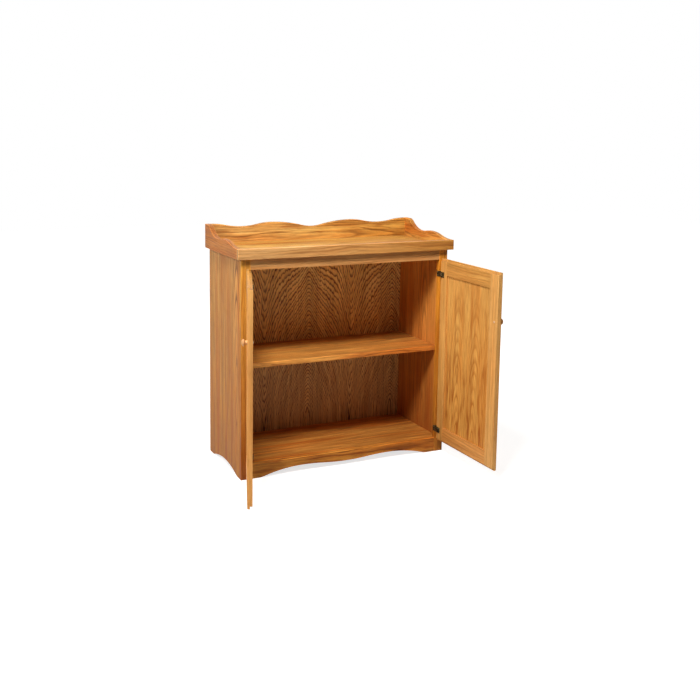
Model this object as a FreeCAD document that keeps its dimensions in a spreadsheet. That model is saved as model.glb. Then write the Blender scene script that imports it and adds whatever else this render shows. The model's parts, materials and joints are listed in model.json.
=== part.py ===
"""A dry sink cabinet in oak: a low cupboard with two lipped doors and a shallow, scalloped tray on top.

All lengths are in millimetres and all angles in degrees. The frame stands on the floor at z = 0, with
x across the front, y from the front to the back and z up. The origin is on the floor, at the middle of
the width, in the plane of the face frame's front.

Each door is drawn closed, in a frame of its own whose origin is on its hinge axis at floor level, and is
then turned about that axis to where it stands open.
"""
import FreeCAD, Part
import math
import os

import Sketcher
from FreeCAD import Placement, Rotation, Vector

doc = FreeCAD.newDocument("DrySinkCabinet")
sheet = doc.addObject("Spreadsheet::Sheet", "Sizes")
nodes = []


class Size:
    """A length that carries both its number and the spreadsheet expression that gives it."""

    def __init__(self, number, text):
        self.number = float(number)
        self.text = text

    def __add__(self, other):
        other = as_size(other)
        return Size(self.number + other.number, "(%s + %s)" % (self.text, other.text))

    def __sub__(self, other):
        other = as_size(other)
        return Size(self.number - other.number, "(%s - %s)" % (self.text, other.text))

    def __mul__(self, factor):
        return Size(self.number * factor, "(%s * %s)" % (self.text, repr(factor)))

    def __truediv__(self, divisor):
        return Size(self.number / divisor, "(%s / %s)" % (self.text, repr(divisor)))

    def __neg__(self):
        return self * -1

    __radd__ = __add__
    __rmul__ = __mul__


def as_size(value):
    """The value itself if it is a Size, and otherwise a Size made from the plain number."""
    return value if isinstance(value, Size) else Size(value, repr(float(value)))


def size(alias, number, note):
    """Writes one driving dimension into the spreadsheet and returns it."""
    row = str(size.rows + 1)
    size.rows += 1
    sheet.set("A" + row, note)
    sheet.set("B" + row, repr(number))
    sheet.setAlias("B" + row, alias)
    return Size(number, "Sizes." + alias)


size.rows = 0

# --- Carcass -------------------------------------------------------------------------------------
carcass_width = size("carcass_width", 914.4, "across both side panels")
carcass_depth = size("carcass_depth", 387.35, "front of the face frame to the back of the cabinet")
carcass_height = size("carcass_height", 873.1, "floor to the underside of the tray deck")
side_thickness = size("side_thickness", 19.05, "side panels")
bottom_thickness = size("bottom_thickness", 19.05, "bottom deck")
shelf_thickness = size("shelf_thickness", 19.05, "middle shelf")
back_thickness = size("back_thickness", 19.05, "back panel")
dado_depth = size("dado_depth", 6.35, "dados in the sides that hold the deck and the shelf")
back_rabbet = size("back_rabbet", 9.5, "width of the rabbets in the sides that hold the back panel")
toe_height = size("toe_height", 61.0, "floor to the top of the bottom deck and of the bottom rail")
shelf_top = size("shelf_top", 453.0, "floor to the top of the middle shelf")
shelf_setback = size("shelf_setback", 22.0, "shelf's front edge behind the back of the face frame")
stretcher_width = size("stretcher_width", 76.0, "stretchers that the tray deck is screwed to")
stretcher_thickness = size("stretcher_thickness", 19.05, "the same, thickness")

# --- Face frame ----------------------------------------------------------------------------------
frame_thickness = size("frame_thickness", 19.05, "face frame stock")
stile_width = size("stile_width", 38.1, "face frame stiles")
top_rail_width = size("top_rail_width", 42.5, "face frame top rail")
frame_tenon_length = size("frame_tenon_length", 12.0, "tenons of the face frame rails")
frame_tenon_thickness = size("frame_tenon_thickness", 6.35, "the same, thickness")
frame_tenon_shoulder = size("frame_tenon_shoulder", 8.0, "the same, shoulder above and below")

# --- Scalloped feet ------------------------------------------------------------------------------
front_foot_length = size("front_foot_length", 75.0, "flat of each foot along the front")
front_foot_curve = size("front_foot_curve", 80.0, "radius where a front foot turns up into its arch")
front_arch_height = size("front_arch_height", 27.0, "crests of the apron's two arches")
front_arch_spacing = size("front_arch_spacing", 195.0, "middle of the front to the crest of an arch")
front_dip_height = size("front_dip_height", 17.5, "bottom of the dip between the two arches")
side_foot_length = size("side_foot_length", 38.0, "flat of each foot along a side, face frame and all")
side_foot_curve = size("side_foot_curve", 60.0, "radius where a side foot turns up into its arch")
side_arch_height = size("side_arch_height", 25.0, "crest of each side panel's arch")
block_leg = size("block_leg", 30.0, "legs of the triangular glue blocks behind the front feet")
block_lift = size("block_lift", 3.0, "floor to the bottom of the glue blocks")

# --- Tray ----------------------------------------------------------------------------------------
tray_thickness = size("tray_thickness", 19.05, "tray deck")
tray_rail_thickness = size("tray_rail_thickness", 19.05, "front and side rails of the tray")
tray_front_height = size("tray_front_height", 41.3, "front rail, and the front end of each side rail")
backsplash_thickness = size("backsplash_thickness", 19.05, "backsplash")
backsplash_height = size("backsplash_height", 98.4, "ends and humps of the backsplash over the carcass")
backsplash_valley = size("backsplash_valley", 84.0, "outer valleys of the backsplash over the carcass")
backsplash_middle = size("backsplash_middle", 75.5, "middle valley of the backsplash over the carcass")
backsplash_hump_spacing = size("backsplash_hump_spacing", 185.0, "middle to the top of a hump")
backsplash_valley_spacing = size("backsplash_valley_spacing", 319.0, "middle to an outer valley")
backsplash_middle_curve = size("backsplash_middle_curve", 180.0, "radius of the middle valley")
side_rail_flat = size("side_rail_flat", 35.0, "level back end of each side rail of the tray")
side_rail_shoulder = size("side_rail_shoulder", 50.0, "radius where that end turns down")
side_rail_valley = size("side_rail_valley", 54.5, "valley of a side rail over the carcass")
side_rail_valley_place = size("side_rail_valley_place", 232.0, "front of the carcass to that valley")
side_rail_hump = size("side_rail_hump", 62.0, "hump of a side rail over the carcass")
side_rail_hump_place = size("side_rail_hump_place", 150.0, "front of the carcass to that hump")

# --- Doors ---------------------------------------------------------------------------------------
door_thickness = size("door_thickness", 19.05, "door frame stock")
lip_depth = size("lip_depth", 9.525, "how deep the lip's rabbet is cut into the door's thickness")
lip_width = size("lip_width", 9.525, "how far the lip's rabbet reaches in from the door's edge")
lip_clearance = size("lip_clearance", 2.4, "air round a closed door, beside its rabbet and behind its lip")
lip_round = size("lip_round", 4.0, "rounding of the lip's front edge")
meeting_gap = size("meeting_gap", 4.0, "between the two closed doors")
door_stile_width = size("door_stile_width", 55.5, "stiles of a door")
door_rail_width = size("door_rail_width", 67.0, "rails of a door")
panel_thickness = size("panel_thickness", 6.35, "flat door panel, and the grooves that hold it")
panel_groove = size("panel_groove", 9.5, "depth of those grooves")
panel_play = size("panel_play", 0.8, "room left for the panel and the tenons at the bottom of the grooves")
left_door_angle = size("left_door_angle", 109.5, "how far the left door stands open")
right_door_angle = size("right_door_angle", 90.5, "how far the right door stands open")

# --- Knobs ---------------------------------------------------------------------------------------
knob_drop = size("knob_drop", 194.5, "top of the door to the middle of its knob")
knob_inset = size("knob_inset", 21.5, "meeting edge of the door to the middle of its knob")
knob_radius = size("knob_radius", 12.7, "rim of the knob")
knob_length = size("knob_length", 21.5, "how far the knob stands out")
knob_foot_radius = size("knob_foot_radius", 7.8, "foot of the knob")
knob_foot_length = size("knob_foot_length", 1.6, "straight part of the foot")
knob_cove_curve = size("knob_cove_curve", 6.5, "radius of the cove round its neck")
knob_cove_end = size("knob_cove_end", 9.6, "door to the outer end of the cove")
knob_flare_radius = size("knob_flare_radius", 8.8, "the knob's radius there, where it flares to the rim")
knob_rim_place = size("knob_rim_place", 12.6, "door to the rim")
knob_rim_curve = size("knob_rim_curve", 3.6, "radius where the rim turns into the dome")
knob_bore_depth = size("knob_bore_depth", 13.0, "blind hole for the knob's screw")
knob_screw_radius = size("knob_screw_radius", 2.0, "shank of the knob's screw")
knob_screw_reach = size("knob_screw_reach", 11.5, "how far that screw goes into the knob")
knob_head_radius = size("knob_head_radius", 4.6, "head of the knob's screw")
knob_head_height = size("knob_head_height", 2.4, "the same, height")

# --- Hinges --------------------------------------------------------------------------------------
hinge_outset = size("hinge_outset", 3.0, "hinge axis outside the edge of the door's lip")
hinge_forward = size("hinge_forward", 4.0, "hinge axis in front of the face frame")
upper_hinge_drop = size("upper_hinge_drop", 67.0, "top of the door to the middle of its upper hinge")
lower_hinge_rise = size("lower_hinge_rise", 48.0, "bottom of the door to the middle of its lower hinge")
leaf_thickness = size("leaf_thickness", 1.0, "hinge leaves")
leaf_height = size("leaf_height", 24.0, "hinge leaves, up the door")
leaf_rim = size("leaf_rim", 1.2, "heads of the door leaf's screws to its inner end")
leaf_tail = size("leaf_tail", 16.0, "frame leaf along the edge of the door opening")
barrel_radius = size("barrel_radius", 2.6, "knuckles of a hinge")
middle_knuckle = size("middle_knuckle", 8.0, "length of the middle knuckle, which the frame leaf has")
knuckle_gap = size("knuckle_gap", 0.4, "air between the knuckles")
pin_radius = size("pin_radius", 1.25, "hinge pin")
pin_head_radius = size("pin_head_radius", 2.2, "ends of the hinge pin")
pin_head_height = size("pin_head_height", 1.1, "the same, height")
running_clearance = size("running_clearance", 0.05, "round a pin or a screw in its hole")
spring_box_start = size("spring_box_start", 1.0, "inner edge of the door to the closing spring's box")
spring_box_width = size("spring_box_width", 15.5, "closing spring's box across the door")
spring_box_height = size("spring_box_height", 15.0, "the same, up the door")
spring_box_depth = size("spring_box_depth", 8.6, "how far it stands off the door leaf")
spring_box_round = size("spring_box_round", 2.5, "rounding of its outer edges")
leaf_hole_gap = size("leaf_hole_gap", 1.6, "that box to the heads of the door leaf's screws")
tail_hole_place = size("tail_hole_place", 11.5, "front of the face frame to the frame leaf's screws")
leaf_hole_spacing = size("leaf_hole_spacing", 16.0, "between the two screws of a leaf")
hinge_screw_radius = size("hinge_screw_radius", 1.7, "shank of a hinge screw")
hinge_screw_reach = size("hinge_screw_reach", 12.0, "how far a hinge screw goes into the wood")
hinge_head_radius = size("hinge_head_radius", 3.1, "head of a hinge screw, where it meets the leaf")
hinge_head_top = size("hinge_head_top", 1.8, "the same, at its outer end")
hinge_head_height = size("hinge_head_height", 1.1, "height of that head")

# --- Screws that hold the tray deck down ---------------------------------------------------------
deck_screw_radius = size("deck_screw_radius", 2.2, "shank of a tray screw")
deck_screw_reach = size("deck_screw_reach", 12.0, "how far a tray screw goes into the tray deck")
deck_screw_spacing = size("deck_screw_spacing", 340.0, "between the tray screws of one stretcher")
deck_head_radius = size("deck_head_radius", 4.2, "head of a tray screw")
deck_head_height = size("deck_head_height", 2.6, "the same, height")

# --- Places that several pieces share ------------------------------------------------------------
ZERO = Size(0, "0.0")
half_width = carcass_width / 2
side_inner = half_width - side_thickness
opening_edge = half_width - stile_width
opening_top = carcass_height - top_rail_width
box_back = carcass_depth - back_thickness
deck_bottom = toe_height - bottom_thickness
shelf_front = frame_thickness + shelf_setback
lip_overlap = lip_width - lip_clearance
hinge_axis_x = opening_edge + lip_overlap + hinge_outset
leaf_hole_place = spring_box_start + spring_box_width + leaf_hole_gap + hinge_head_radius
leaf_reach = leaf_hole_place + hinge_head_radius + leaf_rim
door_bottom = toe_height - lip_overlap
door_top = opening_top + lip_overlap

FULL_TURN = 360.0
TOLERANCE = 0.001


# === Drawing tools ===============================================================================
def new_body(label):
    """An empty body that becomes the node of that name."""
    body = doc.addObject("PartDesign::Body", label)
    body.Label = label
    nodes.append(body)
    return body


def sketch_on(body, role, offset):
    """An empty sketch on one of the body's own planes, moved along that plane's axis by offset."""
    plane = [item for item in body.Origin.OriginFeatures if item.Role == role][0]
    sketch = body.newObject("Sketcher::SketchObject", body.Name + "_sketch")
    sketch.AttachmentSupport = [(plane, "")]
    sketch.MapMode = "FlatFace"
    away = -offset if role == "XZ_Plane" else offset
    sketch.AttachmentOffset = Placement(Vector(0, 0, away.number), Rotation())
    sketch.setExpression("AttachmentOffset.Base.z", away.text)
    return sketch


class Outline:
    """A closed outline, drawn stroke by stroke, whose every corner is dimensioned from the sheet."""

    def __init__(self, sketch, u, v):
        self.sketch = sketch
        self.start = (as_size(u), as_size(v))
        self.here = self.start
        self.first = None
        self.last = None

    def constrain(self, *terms):
        """Adds a constraint, bound to the sheet if its last term is a Size, and returns its number."""
        if not isinstance(terms[-1], Size):
            return self.sketch.addConstraint(Sketcher.Constraint(*terms))
        number = self.sketch.addConstraint(Sketcher.Constraint(*terms[:-1], terms[-1].number))
        self.sketch.setExpression("Constraints[%d]" % number, terms[-1].text)
        return number

    def pin(self, end, place):
        """Dimensions one end of a stroke from the sketch's origin."""
        self.constrain("DistanceX", -1, 1, *end, place[0])
        self.constrain("DistanceY", -1, 1, *end, place[1])

    def stroke(self, curve, begin, finish, place):
        """Adds a curve that starts where the last one ended, and dimensions its far end."""
        index = self.sketch.addGeometry(curve, False)
        if self.last is None:
            self.first = (index, begin)
            self.pin(self.first, self.start)
        else:
            self.constrain("Coincident", *self.last, index, begin)
        self.last = (index, finish)
        if place is self.start:
            self.constrain("Coincident", *self.last, *self.first)
        elif place is not None:
            self.pin(self.last, place)
            self.here = place
        return index

    def line_to(self, u, v):
        place = (as_size(u), as_size(v))
        begin = Vector(self.here[0].number, self.here[1].number, 0)
        self.stroke(Part.LineSegment(begin, Vector(place[0].number, place[1].number, 0)), 1, 2, place)
        return self

    def cove_to(self, u, v, radius):
        """One hollow arc of that radius, curving to the left of the way it is drawn."""
        place = (as_size(u), as_size(v))
        begin = Vector(self.here[0].number, self.here[1].number, 0)
        finish = Vector(place[0].number, place[1].number, 0)
        chord = finish - begin
        rise = math.sqrt(radius.number ** 2 - (chord.Length / 2) ** 2)
        centre = (begin + finish) / 2 + Vector(chord.y, -chord.x, 0).normalize() * rise
        curve, first, last = self.arc(centre, radius.number, begin, finish, False)
        self.constrain("Radius", self.stroke(curve, first, last, place), radius)
        return self

    def arc(self, centre, radius, begin, finish, anticlockwise):
        """The arc of that centre and radius, and the numbers of its two ends in drawing order."""
        angles = [math.atan2(point.y - centre.y, point.x - centre.x) for point in (begin, finish)]
        circle = Part.Circle(centre, Vector(0, 0, 1), radius)
        if anticlockwise:
            return Part.ArcOfCircle(circle, angles[0], angles[1]), 1, 2
        return Part.ArcOfCircle(circle, angles[1], angles[0]), 2, 1

    def two_arcs(self, centres, radii, turns, place):
        """Two arcs that run smoothly into each other, the second one ending at place."""
        begin = Vector(self.here[0].number, self.here[1].number, 0)
        finish = Vector(place[0].number, place[1].number, 0)
        along = (centres[1] - centres[0]).normalize()
        side = 1 if turns[0] != turns[1] or radii[0] > radii[1] else -1
        middle = centres[0] + along * (side * radii[0])
        first, first_begin, first_end = self.arc(centres[0], radii[0], begin, middle, turns[0])
        second, second_begin, second_end = self.arc(centres[1], radii[1], middle, finish, turns[1])
        one = self.sketch.addGeometry(first, False)
        two = self.sketch.addGeometry(second, False)
        self.constrain("Coincident", *self.last, one, first_begin)
        self.constrain("Tangent", one, first_end, two, second_begin)
        self.last = (two, second_end)
        self.pin(self.last, place)
        self.here = place
        return (one, first_begin), (two, second_end)

    def ogee_to(self, u, v, radius=None, at_end=False):
        """An S-curve of two arcs, level at both ends; radius is that of its first or last arc."""
        place = (as_size(u), as_size(v))
        run = place[0].number - self.here[0].number
        rise = place[1].number - self.here[1].number
        total = (run * run + rise * rise) / (2 * abs(rise))
        given = total / 2 if radius is None else radius.number
        radii = (total - given, given) if at_end else (given, total - given)
        up = math.copysign(1, rise)
        centres = (
            Vector(self.here[0].number, self.here[1].number + up * radii[0], 0),
            Vector(place[0].number, place[1].number - up * radii[1], 0),
        )
        turn = run * rise > 0
        one, two = self.two_arcs(centres, radii, (turn, not turn), place)
        self.constrain("Vertical", one[0], 3, *one)
        self.constrain("Vertical", two[0], 3, *two)
        if radius is None:
            self.constrain("Equal", one[0], two[0])
        else:
            self.constrain("Radius", two[0] if at_end else one[0], radius)
        return self

    def dome_to(self, u, v, radius):
        """Two arcs that start level and end upright, as a knob's rim and dome do."""
        place = (as_size(u), as_size(v))
        run = place[0].number - self.here[0].number
        drop = self.here[1].number - place[1].number
        across = abs(run)
        small = radius.number
        large = (across * across + drop * drop - 2 * drop * small) / (2 * (across - small))
        onward = math.copysign(1, run)
        centres = (
            Vector(self.here[0].number, self.here[1].number - small, 0),
            Vector(place[0].number - onward * large, place[1].number, 0),
        )
        turn = run < 0
        one, two = self.two_arcs(centres, (small, large), (turn, turn), place)
        self.constrain("Vertical", one[0], 3, *one)
        self.constrain("Horizontal", two[0], 3, *two)
        self.constrain("Radius", one[0], radius)
        return self

    def close(self):
        begin = Vector(self.here[0].number, self.here[1].number, 0)
        end = Vector(self.start[0].number, self.start[1].number, 0)
        self.stroke(Part.LineSegment(begin, end), 1, 2, self.start)


def rectangle(sketch, u, v):
    """A rectangle between two places across and two places up."""
    Outline(sketch, u[0], v[0]).line_to(u[1], v[0]).line_to(u[1], v[1]).line_to(u[0], v[1]).close()


def extrude(kind, body, sketch, length):
    """Pads or pockets a sketch towards +X, +Y or +Z by length."""
    feature = body.newObject("PartDesign::" + kind, body.Name + "_" + kind.lower())
    feature.Profile = sketch
    feature.Length = length.number
    feature.setExpression("Length", length.text)
    faces_front = sketch.AttachmentSupport[0][0].Role == "XZ_Plane"
    feature.Reversed = faces_front if kind == "Pad" else not faces_front
    return feature


def board(label, x, y, z):
    """A node that starts as a plain board between two places on each axis."""
    body = new_body(label)
    add_block(body, x, y, z)
    return body


def in_order(x):
    """The two places, lower one first."""
    return x if x[0].number < x[1].number else (x[1], x[0])


def add_block(body, x, y, z):
    """Adds a rectangular block, such as a tenon, to a body."""
    sketch = sketch_on(body, "XY_Plane", as_size(z[0]))
    rectangle(sketch, x, y)
    extrude("Pad", body, sketch, z[1] - z[0])


def cut_block(body, x, y, z):
    """Cuts a rectangular dado, rabbet, groove or mortise out of a body."""
    sketch = sketch_on(body, "XY_Plane", as_size(z[0]))
    rectangle(sketch, x, y)
    extrude("Pocket", body, sketch, z[1] - z[0])


def circles(sketch, centres, radius):
    """Circles of one radius, each centre dimensioned from the sheet."""
    for centre in centres:
        middle = Vector(as_size(centre[0]).number, as_size(centre[1]).number, 0)
        index = sketch.addGeometry(Part.Circle(middle, Vector(0, 0, 1), radius.number), False)
        mark = Outline(sketch, *centre)
        mark.pin((index, 3), mark.start)
        mark.constrain("Radius", index, radius)


def drill(body, role, centres, radius, start, length):
    """Round holes of one radius, from start towards the plane's positive axis."""
    sketch = sketch_on(body, role, start)
    circles(sketch, centres, radius)
    extrude("Pocket", body, sketch, length)


def round_edges(body, radius, *places):
    """Fillets the straight edges that lie where one of the places says, such as {"x": 3, "z": 9}."""
    doc.recompute()
    base = body.Tip
    names = []
    for number, edge in enumerate(base.Shape.Edges, 1):
        box = edge.BoundBox
        spans = {"x": (box.XMin, box.XMax), "y": (box.YMin, box.YMax), "z": (box.ZMin, box.ZMax)}
        for place in places:
            if all(abs(end - at.number) < TOLERANCE for axis, at in place.items() for end in spans[axis]):
                names.append("Edge%d" % number)
    fillet = body.newObject("PartDesign::Fillet", body.Name + "_fillet")
    fillet.Base = (base, names)
    fillet.setExpression("Radius", radius.text)


def bind_place(item, x, y, z=ZERO):
    """Ties where an object stands to the sheet."""
    for axis, place in zip("xyz", (x, y, z)):
        item.setExpression("Placement.Base." + axis, as_size(place).text)


# === Carcass =====================================================================================
def side_panel(label, side):
    """A side panel with arched foot, dados for the deck and the shelf, and a rabbet for the back."""
    body = new_body(label)
    outside = min(half_width * side, side_inner * side, key=lambda place: place.number)
    sketch = sketch_on(body, "YZ_Plane", outside)
    outline = Outline(sketch, frame_thickness, ZERO)
    outline.line_to(side_foot_length, ZERO)
    outline.ogee_to(carcass_depth / 2, side_arch_height, side_foot_curve)
    outline.ogee_to(carcass_depth - side_foot_length, ZERO, side_foot_curve, at_end=True)
    outline.line_to(carcass_depth, ZERO)
    outline.line_to(carcass_depth, carcass_height)
    outline.line_to(frame_thickness, carcass_height)
    outline.close()
    extrude("Pad", body, sketch, side_thickness)
    dado = in_order((side_inner * side, (side_inner + dado_depth) * side))
    cut_block(body, dado, (frame_thickness, box_back), (deck_bottom, toe_height))
    cut_block(body, dado, (shelf_front, box_back), (shelf_top - shelf_thickness, shelf_top))
    rabbet = in_order((side_inner * side, (side_inner + back_rabbet) * side))
    cut_block(body, rabbet, (box_back, carcass_depth), (ZERO, carcass_height))
    return body


def build_carcass():
    side_panel("left_side_panel", -1)
    side_panel("right_side_panel", 1)
    in_dados = (-(side_inner + dado_depth), side_inner + dado_depth)
    in_rabbets = (-(side_inner + back_rabbet), side_inner + back_rabbet)
    between_sides = (-side_inner, side_inner)
    board("bottom_deck", in_dados, (frame_thickness, box_back), (deck_bottom, toe_height))
    board("middle_shelf", in_dados, (shelf_front, box_back), (shelf_top - shelf_thickness, shelf_top))
    board("back_panel", in_rabbets, (box_back, carcass_depth), (deck_bottom, carcass_height))
    under_tray = (carcass_height - stretcher_thickness, carcass_height)
    fronts = {"front_stretcher": frame_thickness, "rear_stretcher": box_back - stretcher_width}
    for label, front in fronts.items():
        stretcher = board(label, between_sides, (front, front + stretcher_width), under_tray)
        drill(stretcher, "XY_Plane", deck_screw_places(front), deck_screw_radius + running_clearance,
              under_tray[0], stretcher_thickness)
    for label, side in (("left_foot_block", -1), ("right_foot_block", 1)):
        block = new_body(label)
        sketch = sketch_on(block, "XY_Plane", block_lift)
        outline = Outline(sketch, side_inner * side, frame_thickness)
        outline.line_to((side_inner - block_leg) * side, frame_thickness)
        outline.line_to(side_inner * side, frame_thickness + block_leg)
        outline.close()
        extrude("Pad", block, sketch, deck_bottom - block_lift)


def deck_screw_places(front):
    """Where the three tray screws of the stretcher that starts at front stand."""
    return [(deck_screw_spacing * step, front + stretcher_width / 2) for step in (-1, 0, 1)]


# === Face frame ==================================================================================
def tenon_thickness_span():
    middle = frame_thickness / 2
    return (middle - frame_tenon_thickness / 2, middle + frame_tenon_thickness / 2)


def build_face_frame():
    top_tenon = (opening_top + frame_tenon_shoulder, carcass_height - frame_tenon_shoulder)
    bottom_tenon = (frame_tenon_shoulder, toe_height - frame_tenon_shoulder)
    for label, side in (("left_frame_stile", -1), ("right_frame_stile", 1)):
        across = in_order((opening_edge * side, half_width * side))
        stile = board(label, across, (ZERO, frame_thickness), (ZERO, carcass_height))
        mortise = in_order((opening_edge * side, (opening_edge + frame_tenon_length) * side))
        cut_block(stile, mortise, tenon_thickness_span(), top_tenon)
        cut_block(stile, mortise, tenon_thickness_span(), bottom_tenon)
        holes = [(tail_hole_place, middle + leaf_hole_spacing / 2 * way)
                 for middle in hinge_heights() for way in (-1, 1)]
        depth = hinge_screw_reach + running_clearance
        start = in_order((opening_edge * side, (opening_edge + depth) * side))[0]
        drill(stile, "YZ_Plane", holes, hinge_screw_radius + running_clearance, start, depth)

    past_stiles = (-(opening_edge + frame_tenon_length), opening_edge + frame_tenon_length)
    top_rail = board("frame_top_rail", (-opening_edge, opening_edge), (ZERO, frame_thickness),
                     (opening_top, carcass_height))
    add_block(top_rail, past_stiles, tenon_thickness_span(), top_tenon)

    apron = new_body("frame_bottom_rail")
    sketch = sketch_on(apron, "XZ_Plane", ZERO)
    foot = half_width - front_foot_length
    outline = Outline(sketch, -opening_edge, ZERO)
    outline.line_to(-foot, ZERO)
    outline.ogee_to(-front_arch_spacing, front_arch_height, front_foot_curve)
    outline.ogee_to(ZERO, front_dip_height)
    outline.ogee_to(front_arch_spacing, front_arch_height)
    outline.ogee_to(foot, ZERO, front_foot_curve, at_end=True)
    outline.line_to(opening_edge, ZERO)
    outline.line_to(opening_edge, toe_height)
    outline.line_to(-opening_edge, toe_height)
    outline.close()
    extrude("Pad", apron, sketch, frame_thickness)
    for side in (-1, 1):
        tenon = in_order(((opening_edge - frame_tenon_length) * side,
                          (opening_edge + frame_tenon_length) * side))
        add_block(apron, tenon, tenon_thickness_span(), bottom_tenon)


# === Tray ========================================================================================
def build_tray():
    deck = board("tray_deck", (-half_width, half_width), (ZERO, carcass_depth - backsplash_thickness),
                 (carcass_height, carcass_height + tray_thickness))
    places = deck_screw_places(frame_thickness) + deck_screw_places(box_back - stretcher_width)
    drill(deck, "XY_Plane", places, deck_screw_radius + running_clearance, carcass_height,
          deck_screw_reach + running_clearance)

    outside = half_width + tray_rail_thickness
    board("tray_front_rail", (-outside, outside), (-tray_rail_thickness, ZERO),
          (carcass_height, carcass_height + tray_front_height))

    for label, start in (("tray_left_rail", -outside), ("tray_right_rail", half_width)):
        rail = new_body(label)
        sketch = sketch_on(rail, "YZ_Plane", start)
        outline = Outline(sketch, ZERO, carcass_height)
        outline.line_to(carcass_depth, carcass_height)
        outline.line_to(carcass_depth, carcass_height + backsplash_height)
        outline.line_to(carcass_depth - side_rail_flat, carcass_height + backsplash_height)
        outline.ogee_to(side_rail_valley_place, carcass_height + side_rail_valley, side_rail_shoulder)
        outline.ogee_to(side_rail_hump_place, carcass_height + side_rail_hump)
        outline.ogee_to(ZERO, carcass_height + tray_front_height)
        outline.close()
        extrude("Pad", rail, sketch, tray_rail_thickness)

    splash = new_body("tray_backsplash")
    sketch = sketch_on(splash, "XZ_Plane", carcass_depth - backsplash_thickness)
    high = carcass_height + backsplash_height
    low = carcass_height + backsplash_valley
    outline = Outline(sketch, -half_width, carcass_height)
    outline.line_to(half_width, carcass_height)
    outline.line_to(half_width, high)
    outline.ogee_to(backsplash_valley_spacing, low)
    outline.ogee_to(backsplash_hump_spacing, high)
    outline.ogee_to(ZERO, carcass_height + backsplash_middle, backsplash_middle_curve, at_end=True)
    outline.ogee_to(-backsplash_hump_spacing, high, backsplash_middle_curve)
    outline.ogee_to(-backsplash_valley_spacing, low)
    outline.ogee_to(-half_width, high)
    outline.close()
    extrude("Pad", splash, sketch, backsplash_thickness)


# === Doors =======================================================================================
# A closed door's own frame: u runs from the hinge axis towards the other door, v runs into the cabinet.
lip_back = hinge_forward - lip_clearance
door_front = lip_back + lip_depth - door_thickness
door_back = lip_back + lip_depth
hinge_edge = hinge_outset
step_edge = hinge_outset + lip_width
meeting_edge = hinge_axis_x - meeting_gap / 2
hinge_stile_inner = hinge_edge + door_stile_width
meeting_stile_inner = meeting_edge - door_stile_width
knob_place = meeting_edge - knob_inset
knob_height = door_top - knob_drop


def hinge_heights():
    """The middles of the two hinges."""
    return (door_bottom + lower_hinge_rise, door_top - upper_hinge_drop)


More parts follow.
